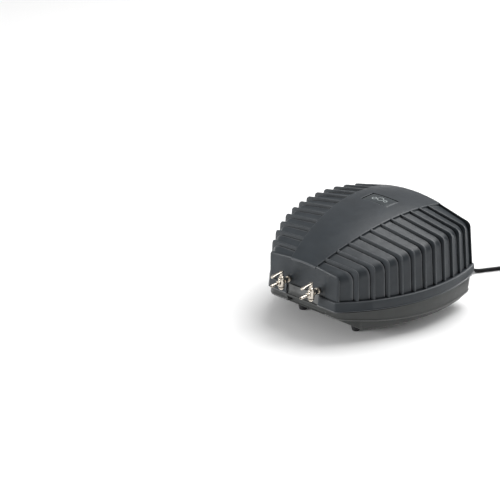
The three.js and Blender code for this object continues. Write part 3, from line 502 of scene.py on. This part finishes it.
def badge_plate():
    """A plate that follows the spine's crown, a little below it, with softened edges."""
    xs = np.linspace(-BADGE["half"] + BADGE_RIM, BADGE["half"] - BADGE_RIM, 25)
    ys = np.linspace(BADGE["y0"] + BADGE_RIM, BADGE["y1"] - BADGE_RIM, 15)
    x, y = np.meshgrid(xs, ys)
    border = np.minimum(np.minimum(x - xs[0], xs[-1] - x), np.minimum(y - ys[0], ys[-1] - y))
    z = spine_edge(y) + crown(y, x) - BADGE_DROP - BADGE_DROP * (border < 0.01)
    top = np.stack([x, y, z], axis=2)
    bottom = top.copy()
    bottom[..., 2] = badge_z + 0.05
    lines, columns = top.shape[:2]
    count = lines * columns
    faces = grid_faces(lines, columns)
    faces += [f[::-1] for f in grid_faces(lines, columns, start=count)]
    rim = ([c for c in range(columns)] + [r * columns + columns - 1 for r in range(1, lines)]
           + [count - 1 - c for c in range(1, columns)] + [r * columns for r in range(lines - 2, 0, -1)])
    faces += [(rim[i], rim[i - 1], rim[i - 1] + count, rim[i] + count) for i in range(len(rim))]
    return np.concatenate([top.reshape(-1, 3), bottom.reshape(-1, 3)]), faces


keep(piece("badge", *badge_plate()), "badge_plastic", "name_badge")


def bubble(x, y, radius, width=0.55, sides=28):
    """A raised ring on the badge."""
    angles = np.arange(sides) * 2 * math.pi / sides
    loops = []
    for grow, lift in ((-width, -0.2), (-width * 0.7, 0.22), (width * 0.7, 0.22), (width, -0.2)):
        px, py = x + (radius + grow) * np.cos(angles), y + (radius + grow) * np.sin(angles)
        loops.append(np.stack([px, py, spine_edge(py) + crown(py, px) - BADGE_DROP + lift], axis=1))
    return loft(loops, closed_ring=True)


BADGE_Y = (BADGE["y0"] + BADGE["y1"]) / 2
# Three plain rings, in place of a name
marks = keep(piece("badge_mark", *both([bubble(-8.5, BADGE_Y - 1.5, 3.2), bubble(0.5, BADGE_Y + 1, 4.4),
                                        bubble(10, BADGE_Y - 0.5, 2.4)])), "badge_plastic")

# ---------------------------------------------------------------- lower housing

FLOOR_TOP = SKIRT_BOTTOM + WALL
RECESS_X = (-1.6 * P, 2.15 * P)  # the recess under the taps
RECESS_BACK = FRONT + 0.5 * P
FILTER = {"half": 34, "y0": 60, "y1": 110}
SLOTS = {"half": 26, "count": 7, "pitch": 6, "width": 2.5}
FOOT_HOLE, SCREW_HOLE, SCREW_DEPTH, GLAND_HOLE = 3.3, 4, 2.2, 4.5
FEET = [(sign * x, y) for x, y in ((47.7, 37.8), (77.4, 172.8)) for sign in (-1, 1)]
SCREWS = [(sign * x, y) for x, y in ((60, 30), (76, 191)) for sign in (-1, 1)]
CORNERS = ["front_left", "front_right", "rear_left", "rear_right"]


def shell_loop(offset, z, front=None):
    """The lower wall's outline, offset from its outer face."""
    nose = FRONT - 0.5 - offset if front is None else front
    return at_height(plan(0.5 + offset, nose, REAR + offset, 9 + offset, 15 + offset), z)


def skirt_loop(t, offset, z):
    """The skirt's outline, from its top (t = 0) to its bottom (t = 1)."""
    return at_height(plan(-4.2 - t + offset, SKIRT_FRONT + t - offset, REAR - 4 - 2 * t + offset,
                          4, 20 + 2 * t), z)


def above_edge(lift):
    """Heights that follow the wall's bottom edge, which sinks in an arc towards the cord end."""
    def height(y):
        t = np.clip((y + 0.8 * P) / (8.6 * P), 0, 1)
        return EDGE_REAR + (EDGE_FRONT - EDGE_REAR) * (1 - t) ** 2 + lift
    return height


def between(top, lift, t):
    """Heights a share t of the way from top down to the wall's bottom edge."""
    return lambda y: top + (above_edge(lift)(y) - top) * t


inner_front = RECESS_BACK + WALL
SKIRT_TOP_LIFT, SKIRT_ROUND, WALL_LEAN = -0.5, 1.4, 1.7
# (offset, lift) of the lip that runs round the wall's bottom edge
LIP = [(-1.7, 3.4), (-1.65, 2.8), (-1.15, 2.4), (-0.85, 1.9), (-0.8, 1.1), (-1.1, 0.4), (-1.8, 0), (-2.8, 0)]


def skirt_height(t):
    """Heights a share t of the way down the skirt."""
    return lambda y: (1 - t) * above_edge(SKIRT_TOP_LIFT)(y) + t * (SKIRT_BOTTOM + 1.6)


housing_loops = (
    [skirt_loop(1, -WALL, FLOOR_TOP), skirt_loop(0, -WALL, above_edge(WALL - 0.2)),
     shell_loop(-WALL - WALL_LEAN, above_edge(WALL), inner_front), shell_loop(-WALL, SHELL_TOP, inner_front),
     shell_loop(-0.35, SHELL_TOP), shell_loop(-0.1, SHELL_TOP - 0.12), shell_loop(0, SHELL_TOP - 0.45)]
    + [shell_loop(-WALL_LEAN * t ** 2, between(SHELL_TOP - 0.45, LIP[0][1] + 0.6, t))
       for t in (0.2, 0.4, 0.6, 0.8, 0.95)]
    + [shell_loop(offset, above_edge(lift)) for offset, lift in LIP]
    + [skirt_loop(0, 0.6, above_edge(0.1)), skirt_loop(0.02, 0, above_edge(SKIRT_TOP_LIFT))]
    + [skirt_loop(t, 0.5 * math.sin(math.pi * t), skirt_height(t)) for t in (0.25, 0.5, 0.75, 1)]
    + [skirt_loop(1, -SKIRT_ROUND * (1 - math.cos(a)), SKIRT_BOTTOM + SKIRT_ROUND * (1 - math.sin(a)))
       for a in np.radians([30, 60, 90])])
housing = piece("lower_shell", *loft(housing_loops))
TONGUE_GAP = 0.3
tongue = block("tongue", (-NOTCH_HALF + TONGUE_GAP, FRONT + 1, SHELL_TOP - 1),
               (NOTCH_HALF - TONGUE_GAP, NOTCH_BACK - TONGUE_GAP, -TONGUE_GAP))
housing = combined(housing, [tongue], "UNION")
BELOW, ABOVE = SKIRT_BOTTOM - 1, FLOOR_TOP + 1  # where cuts through the floor start and end
cuts = [block("recess", (RECESS_X[0], -2 * P, -2 * P), (RECESS_X[1], RECESS_BACK, SHELL_TOP - 3)),
        block("bay", (-FILTER["half"], FILTER["y0"], BELOW), (FILTER["half"], FILTER["y1"], ABOVE))]
cuts += [rod("bore", SCREW_HOLE, BELOW, SKIRT_BOTTOM + SCREW_DEPTH, 2, (x, y, 0), 24) for x, y in SCREWS]
cuts += [rod("hole", FOOT_HOLE, BELOW, ABOVE, 2, (x, y, 0), 24) for x, y in FEET]
cuts += [rod("gland_hole", GLAND_HOLE, REAR - 8, REAR + 8, 1, (GLAND_X, 0, GLAND_Z), 32)]
housing = combined(housing, cuts, "DIFFERENCE")
keep(housing, "housing_plastic", "lower_housing")


def filter_lid():
    """The slotted lid of the air intake."""
    low = (-FILTER["half"] + 0.5, FILTER["y0"] + 0.5, SKIRT_BOTTOM + 0.3)
    high = (FILTER["half"] - 0.5, FILTER["y1"] - 0.5, FLOOR_TOP - 0.5)
    lid = piece("filter_lid", *rounded_box(low, high, 0.6))
    starts = [FILTER["y0"] + SLOTS["pitch"] * (1 + i) for i in range(SLOTS["count"])]
    slots = [block("slot", (-SLOTS["half"], y, BELOW), (SLOTS["half"], y + SLOTS["width"], ABOVE))
             for y in starts]
    return combined(lid, slots, "DIFFERENCE")


keep(filter_lid(), "housing_plastic", "filter_cover")

FOOT_PROFILE = [(0, STAND), (4.2, STAND), (4.75, STAND + 0.15), (5.2, STAND + 0.7), (5.9, STAND + 4),
                (6.9, STAND + 10), (7.5, STAND + 13.2), (8.15, STAND + 14), (8.3, STAND + 14.8),
                (8.3, SKIRT_BOTTOM - 0.9), (8.0, SKIRT_BOTTOM - 0.4), (3, SKIRT_BOTTOM - 0.3),
                (3, ABOVE), (4.2, FLOOR_TOP + 1.4), (2.6, FLOOR_TOP + 4), (0, FLOOR_TOP + 4)]
for (x, y), corner in zip(FEET, CORNERS):
    keep(piece("rubber_foot_" + corner, *lathe(FOOT_PROFILE, 2, (x, y, 0))), "black_rubber", "foot_" + corner)


def screw(name, x, y):
    """A cross-head screw that comes up through the floor."""
    base = SKIRT_BOTTOM
    body = piece(name, *lathe([(0, base + 2.4), (2.6, base + 2.5), (3.3, base + 3.1), (3.4, base + 4),
                               (1.7, base + 4.2), (1.7, BAND_BOTTOM + 14), (0, BAND_BOTTOM + 16)],
                              2, (x, y, 0), 24))
    slots = [block("cross", (x - w, y - h, base + 1), (x + w, y + h, base + 3.4))
             for w, h in ((2, 0.4), (0.4, 2))]
    return combined(body, slots, "DIFFERENCE")


for (x, y), corner in zip(SCREWS, CORNERS):
    keep(screw("cross_screw_" + corner, x, y), "zinc_steel", "screw_" + corner)

# ---------------------------------------------------------------- air taps

LEVER_Z = TAP_Z + 0.8 * P
LEVER_THICKNESS = 2.5
TAP_SMOOTH_ANGLE = 40
BORE, SEAT = 1.25, 3.0  # radii
BARB_PITCH = 3.4


def tap_fitting(name, x):
    """Hose tail with barbs, barrel and stem, bored through for the air and the turning plug."""
    plug, tip = TAP_PLUG_Y, TAP_TIP_Y
    barbs = []
    for i in range(3):
        start = tip + 1 + BARB_PITCH * i
        barbs += [(2.0, start), (2.6, start + 2.2), (2.55, start + 2.45), (2.0, start + 2.6)]
    tail = [(0, tip), (1.7, tip), (1.95, tip + 0.3)] + barbs + [
        (2.1, plug - 7.4), (3.2, plug - 7.2), (3.45, plug - 6.8), (3.45, plug - 4.2), (3.1, plug - 3.8),
        (0, plug)]
    stem = [(0, plug), (3.0, plug + 1), (3.0, plug + 3.6), (3.7, plug + 4), (3.8, plug + 4.5),
            (3.8, FRONT - 5), (3.6, FRONT - 4.4), (3.0, FRONT - 4.2), (3.0, FRONT + 9), (0, FRONT + 9)]
    barrel = [(0, TAP_Z - 6.4), (3.9, TAP_Z - 6.4), (4.4, TAP_Z - 6.1), (4.6, TAP_Z - 5.6),
              (4.6, TAP_Z + 5.4), (4.4, TAP_Z + 5.9), (3.9, TAP_Z + 6.2), (0, TAP_Z + 6.2)]
    body = piece(name, *lathe(tail, 1, (x, 0, TAP_Z), 32))
    others = [piece("stem", *lathe(stem, 1, (x, 0, TAP_Z), 32)),
              piece("barrel", *lathe(barrel, 2, (x, plug, 0), 40))]
    body = combined(body, others, "UNION", TAP_SMOOTH_ANGLE)
    bores = [rod("bore", BORE, tip - 1, plug, 1, (x, 0, TAP_Z), 20),
             rod("seat", SEAT, TAP_Z - 8, TAP_Z + 8, 2, (x, plug, 0), 32)]
    return combined(body, bores, "DIFFERENCE", TAP_SMOOTH_ANGLE)


def tap_handle(name, x):
    """The turning plug, its post, and a flat handle that droops slightly towards its rounded end."""
    plug, tip = TAP_PLUG_Y, TAP_TIP_Y + 1
    post = [(0, TAP_Z - 7), (2.65, TAP_Z - 7), (2.7, TAP_Z + 6.4), (2.7, TAP_Z + 6.9), (3.5, TAP_Z + 7.1),
            (3.5, TAP_Z + 8.3), (2.6, TAP_Z + 8.9), (2.2, TAP_Z + 11), (2.35, LEVER_Z - 1),
            (2.35, LEVER_Z + 1.3), (1.9, LEVER_Z + 1.8), (0, LEVER_Z + 1.9)]
    body = piece(name, *lathe(post, 2, (x, plug, 0), 32))
    # (distance along, half width, droop)
    spots = [(2.6, 1.6, 0), (1.2, 2.4, 0), (-2, 2.2, -0.05), (-7, 1.9, -0.4), (-13, 2.2, -1.0),
             (-16.5, 2.5, -1.4), (-18.4, 2.1, -1.6), (tip - plug, 1.1, -1.7)]
    loops = []
    for along, half, droop in spots:
        across, up = oval(half, LEVER_THICKNESS / 2, 0.5, 0.6, 20)
        loops.append(np.stack([x + across, 0 * across + (plug + along), LEVER_Z + droop + up], axis=1))
    handle = piece("handle", *loft(loops), 50)
    return combined(body, [handle], "UNION", TAP_SMOOTH_ANGLE)


def tap_bottom(name, x):
    """The cap that holds the plug in from below."""
    top = TAP_Z - 7.3
    return piece(name, *lathe([(0, top), (3.9, top), (4.2, top - 0.25), (4.2, top - 1), (3.8, top - 1.3),
                               (2.5, top - 1.5), (2.5, top - 3.1), (2.1, top - 3.6), (0, top - 3.7)],
                              2, (x, TAP_PLUG_Y, 0), 32))


def tap_collar(name, x):
    """Round collar on the face."""
    low, high = FRONT - 2.1, FRONT - 0.3
    return piece(name, *lathe([(3.3, low), (4.0, low), (4.4, low + 0.4), (4.4, high), (3.3, high)],
                              1, (x, 0, TAP_Z), 32))


for side, sign in (("left", -1), ("right", 1)):
    tap_x, turning = sign * TAP_X, "tap_plug_" + side
    keep(tap_fitting("tap_fitting_" + side, tap_x), "nickel", "tap_body_" + side)
    keep(tap_handle("tap_handle_" + side, tap_x), "nickel", "tap_lever_" + side, body=turning)
    keep(tap_bottom("tap_bottom_" + side, tap_x), "nickel", "tap_cap_" + side, body=turning)
    keep(tap_collar("tap_collar_" + side, tap_x), "nickel", "tap_nut_" + side)

# ---------------------------------------------------------------- mains cord

CORD_PITCH = 5.45  # turn to turn
COIL_RADII = (25.5, 30.95, 36.4)
COIL_HEIGHTS = tuple(FLOOR_Z + CORD_PITCH * i for i in range(3))
# (ring, layer) of each turn, so that every turn lies next to the one before
COIL_CELLS = [(2, 0), (1, 0), (0, 0), (0, 1), (0, 2), (1, 2), (1, 1), (2, 1), (2, 2)]
TURN, SHIFT, COIL_END = 250, 110, 2250  # degrees; a turn shifts clear of its neighbours' shifts
# (degrees, radius, drop) where the cord leaves the top of the coil for the plug
COIL_EXIT = ((2270, 37.2, 0.8), (2290, 38.6, 2.4), (2310, 40, 4.4), (2330, 40.9, 6.2))
TAIL = [(158.5, 362, FLOOR_Z + 3.4), (158.2, 352, FLOOR_Z + 0.9), (157, 343, FLOOR_Z + 0.4),
        (155, 334, FLOOR_Z + 2.4), (153.4, 326, FLOOR_Z + 5.4), (153, 321, FLOOR_Z + 6.3),
        (153, 317.6, FLOOR_Z + 6.4)]
TURN_Y, DROP_Y, DROP_RUN = 250, 239, 62  # where the run turns towards the coil, and where it drops


def ease(t):
    """0 to 1 with a soft start and end."""
    return (1 - math.cos(math.pi * min(1, max(0, t)))) / 2


def run_points():
    """From the gland the cord sinks to the floor in a soft S while it swings over to the coil."""
    end_x = COIL_X - COIL_RADII[2]
    return [(GLAND_X + (end_x - GLAND_X) * ease((y - TURN_Y) / (COIL_Y - TURN_Y)), y,
             GLAND_Z + (FLOOR_Z - GLAND_Z) * ease((y - DROP_Y) / DROP_RUN))
            for y in np.linspace(GLAND_END + 0.3, COIL_Y - 7, 19)]


def coil_points():
    points = []

    def add(degrees, radius, height):
        a = math.radians(degrees)
        points.append((COIL_X - radius * math.cos(a), COIL_Y + radius * math.sin(a), height))
    for degrees in range(0, COIL_END + 1, 12):
        turn, within = divmod(degrees, TURN)
        part = ease((within - TURN + SHIFT) / SHIFT)
        here, there = COIL_CELLS[turn], COIL_CELLS[min(turn + 1, len(COIL_CELLS) - 1)]
        radius = COIL_RADII[here[0]] * (1 - part) + COIL_RADII[there[0]] * part
        add(degrees, radius, COIL_HEIGHTS[here[1]] * (1 - part) + COIL_HEIGHTS[there[1]] * part)
    for degrees, radius, drop in COIL_EXIT:
        add(degrees, radius, COIL_HEIGHTS[2] - drop)
    return points


def smooth_line(points, steps=6):
    """Centripetal Catmull-Rom line through the points."""
    p = np.asarray(points, float)
    p = np.concatenate([[2 * p[0] - p[1]], p, [2 * p[-1] - p[-2]]])
    line = []
    for a, b, c, d in zip(p, p[1:], p[2:], p[3:]):
        t1 = np.linalg.norm(b - a) ** 0.5
        t2 = t1 + np.linalg.norm(c - b) ** 0.5
        t3 = t2 + np.linalg.norm(d - c) ** 0.5
        for t in np.linspace(t1, t2, steps, endpoint=False):
            ab = a + (b - a) * t / t1
            bc = b + (c - b) * (t - t1) / (t2 - t1)
            cd = c + (d - c) * (t - t2) / (t3 - t2)
            abc = ab + (bc - ab) * t / t2
            bcd = bc + (cd - bc) * (t - t1) / (t3 - t1)
            line.append(abc + (bcd - abc) * (t - t1) / (t2 - t1))
    return np.array(line + [p[-2]])


cord_line = smooth_line(run_points() + coil_points() + TAIL)


def tube(line, radius, sides=14):
    """Round tube along a line, with a frame that doesn't twist."""
    along = np.gradient(line, axis=0)
    along /= np.linalg.norm(along, axis=1)[:, None]
    across = np.array([1.0, 0, 0])
    loops = []
    angles = np.arange(sides) * 2 * math.pi / sides
    for point, heading in zip(line, along):
        across = across - heading * (across @ heading)
        across /= np.linalg.norm(across)
        up = np.cross(heading, across)
        loops.append(point + radius * (np.cos(angles)[:, None] * across + np.sin(angles)[:, None] * up))
    return loft(loops)


cord = piece("cord", *tube(cord_line, CORD_RADIUS), 60)
keep(cord, "cord_rubber", "cord_run", "cord_coil", "cord_tail")


def strain_relief():
    """A flange on the wall, then a tapering sleeve with moulded rings."""
    profile = [(0, REAR - 8), (4.1, REAR - 8), (4.1, REAR + 0.4), (4.9, REAR + 0.5), (5.1, REAR + 0.9),
               (5.1, REAR + 3.4), (4.7, REAR + 4)]
    rings, ring_pitch = 7, 3.4
    for i in range(rings):
        at = REAR + 5.2 + i * ring_pitch
        radius = 4.55 - 0.95 * i / (rings - 1)
        profile += [(radius - 0.55, at - 0.4), (radius, at), (radius, at + 1.9), (radius - 0.55, at + 2.3)]
    profile += [(3.3, GLAND_END - 0.6), (3.0, GLAND_END), (0, GLAND_END)]
    return lathe(profile, 1, (GLAND_X, 0, GLAND_Z), 36)


gland = keep(piece("strain_relief", *strain_relief()), "black_rubber", "cable_gland")

PLUG_X, PLUG_Y, PLUG_Z = 153.0, 318.0, STAND + 9.2
PIN_Y, PIN_HALF_GAP = PLUG_Y - 40, 9.5
GRIP_HALF, GRIP_PITCH = 17.9, 2.6


def plug_shell():
    """Two-pin plug: a sleeve for the cord that swells into a flat, rounded head with a waist."""
    # (distance along, half width, half height)
    spots = [(0.3, 3.6, 3.6), (-0.5, 4.2, 4.2), (-4, 4.6, 4.6), (-9, 6.2, 5.6), (-14, 9.5, 7.0),
             (-18, 13.6, 8.3), (-22, 16.6, 8.9), (-27, 17.8, 9.0), (-33, 18.2, 9.0), (-38.6, 18.4, 9.0),
             (-39.6, 18.0, 8.7), (-40, 17.2, 8.2)]
    loops = []
    for along, half_width, half_height in spots:
        power = 1 if half_width < 6 else 0.62  # round at the sleeve, squarer at the head
        across, up = oval(half_width, half_height, power, power * 0.9 + 0.1, 48)
        loops.append(np.stack([PLUG_X + across, 0 * across + (PLUG_Y + along), PLUG_Z + up], axis=1))
    return loft(loops)


def plug_grips():
    """Five small ribs on each side of the head."""
    grips = []
    for sign in (-1, 1):
        x = PLUG_X + sign * GRIP_HALF
        for i in range(5):
            y = PLUG_Y - 24 - GRIP_PITCH * i
            grips.append(rounded_box((x - 0.9, y, PLUG_Z - 5), (x + 0.9, y + 1.2, PLUG_Z + 5), 0.4))
    return both(grips)


def on_pins(profile):
    return both([lathe(profile, 1, (PLUG_X + sign * PIN_HALF_GAP, 0, PLUG_Z), 24) for sign in (-1, 1)])


PIN = [(0, PIN_Y + 2), (1.95, PIN_Y + 2), (1.95, PIN_Y - 9.8), (2.35, PIN_Y - 10), (2.35, PIN_Y - 17.2),
       (1.7, PIN_Y - 18), (0, PIN_Y - 18)]
SLEEVE = [(2.0, PIN_Y + 1), (2.35, PIN_Y + 1), (2.35, PIN_Y - 9.6), (2.0, PIN_Y - 9.7)]
plug = keep(piece("plug", *plug_shell(), 40), "cord_rubber", "mains_plug")
plug_grip = keep(piece("plug_grip", *plug_grips()), "cord_rubber")
pins = keep(piece("plug_pins", *on_pins(PIN)), "nickel")
collars = keep(piece("pin_sleeves", *on_pins(SLEEVE)), "cord_rubber")


def tie(degrees):
    """A strap around the coil's section."""
    a = math.radians(degrees)
    outward = np.array([-math.cos(a), math.sin(a), 0])
    along = np.array([math.sin(a), math.cos(a), 0])
    upward = np.array([0, 0, 1])
    centre = np.array([COIL_X, COIL_Y, (COIL_HEIGHTS[0] + COIL_HEIGHTS[2]) / 2]) + outward * COIL_RADII[1]
    corners = [(sx * CORD_PITCH, sz * CORD_PITCH) for sx, sz in ((1, 1), (-1, 1), (-1, -1), (1, -1))]

    def ring(radius):
        outline = []
        for i, (cx, cz) in enumerate(corners):
            for k in range(7):
                b = math.radians(90 * i + 15 * k)
                outline.append(outward * (cx + radius * math.cos(b)) + upward * (cz + radius * math.sin(b)))
        return centre + np.array(outline)

    inside, outside, half = 2.78, 3.5, 4
    loops = [ring(radius) + along * shift for radius, shift in (
        (inside, -half), (outside - 0.2, -half), (outside, -half + 0.3), (outside, half - 0.3),
        (outside - 0.2, half), (inside, half))]
    for loop in loops:
        loop[:, 2] = np.maximum(loop[:, 2], STAND + 0.02)
    return loft(loops, closed_ring=True)


ties = keep(piece("cord_ties", *both([tie(140), tie(275)])), "hose_rubber")

# ---------------------------------------------------------------- materials

EDGE_POINTINESS = (0.515, 0.56)  # where the paler edges, partly wear and partly painted highlight, start and are full
PAINTED_SHADE_REACH, PAINTED_SHADE_OCCLUSION = 0.004, (0.4, 0.8)  # metres; reach of the occlusion, and the occlusion values where the painted shade in crevices is full and where it ends


def material(name, colour, roughness, metallic=0.0, grain=0.0, grain_size=0.0006, mottle=0.12,
             spot_size=0.02, rough_spread=0.06, worn=0.0, crevice=0.0, **sockets):
    """Fine grain in the bump, slow changes of tone and gloss, paler edges that are partly wear and partly
    painted highlight, and painted shade in crevices.

    Sizes are metres; the edge and crevice shares are of the paler edge tone and of the darker painted shade,
    sockets the shader's own.
    """
    made = bpy.data.materials.new(name)
    made.use_nodes = True
    nodes, links = made.node_tree.nodes, made.node_tree.links
    shader = nodes["Principled BSDF"]
    shader.inputs["Metallic"].default_value = metallic
    for socket, value in sockets.items():
        shader.inputs[socket.replace("_", " ")].default_value = value
    place = nodes.new("ShaderNodeTexCoord").outputs["Object"]

    def noise(size, detail):
        node = nodes.new("ShaderNodeTexNoise")
        node.inputs["Scale"].default_value = 1 / size
        node.inputs["Detail"].default_value = detail
        links.new(place, node.inputs["Vector"])
        return node.outputs["Fac"]

    def mapped(value, low, high, low_in=0.3, high_in=0.7):
        node = nodes.new("ShaderNodeMapRange")
        node.inputs["From Min"].default_value, node.inputs["From Max"].default_value = low_in, high_in
        node.inputs["To Min"].default_value, node.inputs["To Max"].default_value = low, high
        links.new(value, node.inputs["Value"])
        return node.outputs["Result"]

    def blend(share, tone, other):
        node = nodes.new("ShaderNodeMix")
        node.data_type = "RGBA"
        ends = {socket.identifier: socket for socket in [*node.inputs, *node.outputs]}
        links.new(share, ends["Factor_Float"])
        links.new(tone, ends["A_Color"])
        ends["B_Color"].default_value = (*other, 1)
        return ends["Result_Color"]

    cloud = noise(spot_size, 4)
    ramp = nodes.new("ShaderNodeValToRGB")
    ramp.color_ramp.elements[0].position, ramp.color_ramp.elements[1].position = 0.3, 0.7
    ramp.color_ramp.elements[0].color = (*[c * (1 - mottle) for c in colour], 1)
    ramp.color_ramp.elements[1].color = (*[min(1, c * (1 + mottle)) for c in colour], 1)
    links.new(cloud, ramp.inputs["Fac"])
    tone = ramp.outputs["Color"]
    # Paler convex edges by pointiness: partly edge wear, partly a painted highlight along the rib crests.
    if worn:
        edge = nodes.new("ShaderNodeNewGeometry").outputs["Pointiness"]
        tone = blend(mapped(edge, 0, worn, *EDGE_POINTINESS), tone, [min(1, 0.12 + c * 1.6) for c in colour])
    # Painted shade: the base colour is darkened towards near black where ambient occlusion finds nearby
    # surfaces, in crevices, grooves and at the rib feet.
    if crevice:
        shade_occlusion = nodes.new("ShaderNodeAmbientOcclusion")
        shade_occlusion.inputs["Distance"].default_value = PAINTED_SHADE_REACH
        shade_occlusion.samples = 8
        tone = blend(mapped(shade_occlusion.outputs["AO"], crevice, 0, *PAINTED_SHADE_OCCLUSION), tone, [c * 0.08 for c in colour])
    links.new(tone, shader.inputs["Base Color"])
    links.new(mapped(noise(spot_size * 0.6, 3), roughness - rough_spread, roughness + rough_spread),
              shader.inputs["Roughness"])
    if grain:
        bump = nodes.new("ShaderNodeBump")
        bump.inputs["Strength"].default_value = grain
        bump.inputs["Distance"].default_value = grain_size * 0.25
        links.new(noise(grain_size, 3), bump.inputs["Height"])
        links.new(bump.outputs["Normal"], shader.inputs["Normal"])
    return made


# In the finishes, the occlusion share is painted shade in crevices. The edge share gives paler edges, partly
# wear and partly painted highlight.
FINISHES = {
    "cover_plastic": dict(colour=(0.022, 0.027, 0.032), roughness=0.4, grain=0.35, worn=0.6, crevice=0.95,
                          Specular_IOR_Level=0.36),
    "housing_plastic": dict(colour=(0.03, 0.032, 0.031), roughness=0.4, grain=0.35, worn=0.6, crevice=0.9,
                            Specular_IOR_Level=0.4),
    "badge_plastic": dict(colour=(0.022, 0.028, 0.032), roughness=0.3, grain=0.15, grain_size=0.0004),
    "black_rubber": dict(colour=(0.02, 0.02, 0.022), roughness=0.75, grain=0.5, grain_size=0.0008),
    "cord_rubber": dict(colour=(0.005, 0.005, 0.006), roughness=0.55, grain=0.25, grain_size=0.0008,
                        Specular_IOR_Level=0.2),
    "hose_rubber": dict(colour=(0.03, 0.032, 0.035), roughness=0.55, grain=0.3, grain_size=0.0007),
    "nickel": dict(colour=(0.6, 0.55, 0.48), roughness=0.18, metallic=1, mottle=0.06, rough_spread=0.05,
                   grain=0.08, grain_size=0.0012),
    "zinc_steel": dict(colour=(0.45, 0.46, 0.47), roughness=0.35, metallic=1, grain=0.2, grain_size=0.001),
    "lamination_steel": dict(colour=(0.2, 0.21, 0.22), roughness=0.45, metallic=0.9, grain=0.3),
    "copper_wire": dict(colour=(0.55, 0.25, 0.12), roughness=0.35, metallic=0.9, grain=0.5,
                        grain_size=0.0009),
    "white_plastic": dict(colour=(0.7, 0.7, 0.67), roughness=0.45, grain=0.2),
    "magnet": dict(colour=(0.05, 0.05, 0.055), roughness=0.4, metallic=0.3, grain=0.2),
    "filter_foam": dict(colour=(0.03, 0.035, 0.04), roughness=0.95, grain=1.0, grain_size=0.0015),
}
LOOKS = {name: material(name, **finish) for name, finish in FINISHES.items()}
for part in frame["record"]["subparts"]:
    node = frame["nodes"][part["node"]]
    node.data.materials.clear()
    node.data.materials.append(LOOKS[part["material_slot"]])
mark_paint = material("mark_paint", (0.35, 0.38, 0.38), 0.45, grain=0.1, mottle=0.08)
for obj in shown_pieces():
    if "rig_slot" in obj:
        obj.data.materials.clear()
        obj.data.materials.append(LOOKS[obj["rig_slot"]])
marks.data.materials[0] = mark_paint

# ---------------------------------------------------------------- floor and light

FLOOR_HALF = 6  # metres
floor = bpy.data.objects.new("floor", bpy.data.meshes.new("floor"))
floor.data.from_pydata([(FLOOR_HALF * x, FLOOR_HALF * y, 0) for x, y in ((-1, -1), (1, -1), (1, 1), (-1, 1))],
                       [], [(0, 1, 2, 3)])
bpy.context.scene.collection.objects.link(floor)
floor.data.materials.append(material("floor", (0.9, 0.9, 0.9), 0.9, mottle=0.005, spot_size=0.3))

world = bpy.data.worlds.new("studio")
bpy.context.scene.world = world
world.use_nodes = True
background = world.node_tree.nodes["Background"]
background.inputs["Color"].default_value = (1, 1, 1, 1)
background.inputs["Strength"].default_value = 0.42
bpy.context.scene.view_settings.view_transform = "Standard"


MIDDLE = (0, 0, 0.07)  # of the object


def softbox(name, at, width, height, power):
    """An area light that faces the object, in metres and watts."""
    light = bpy.data.lights.new(name, "AREA")
    light.shape, light.size, light.size_y, light.energy = "RECTANGLE", width, height, power
    obj = bpy.data.objects.new(name, light)
    obj.location = at
    obj.rotation_euler = (Vector(MIDDLE) - Vector(at)).to_track_quat("-Z", "Y").to_euler()
    bpy.context.scene.collection.objects.link(obj)


softbox("main", (0.2, 0.9, 1.9), 2.0, 1.6, 52)
softbox("front", (-1.3, -2.0, 0.7), 1.0, 0.7, 36)
softbox("rear", (0.9, 2.2, 0.5), 1.0, 0.5, 22)
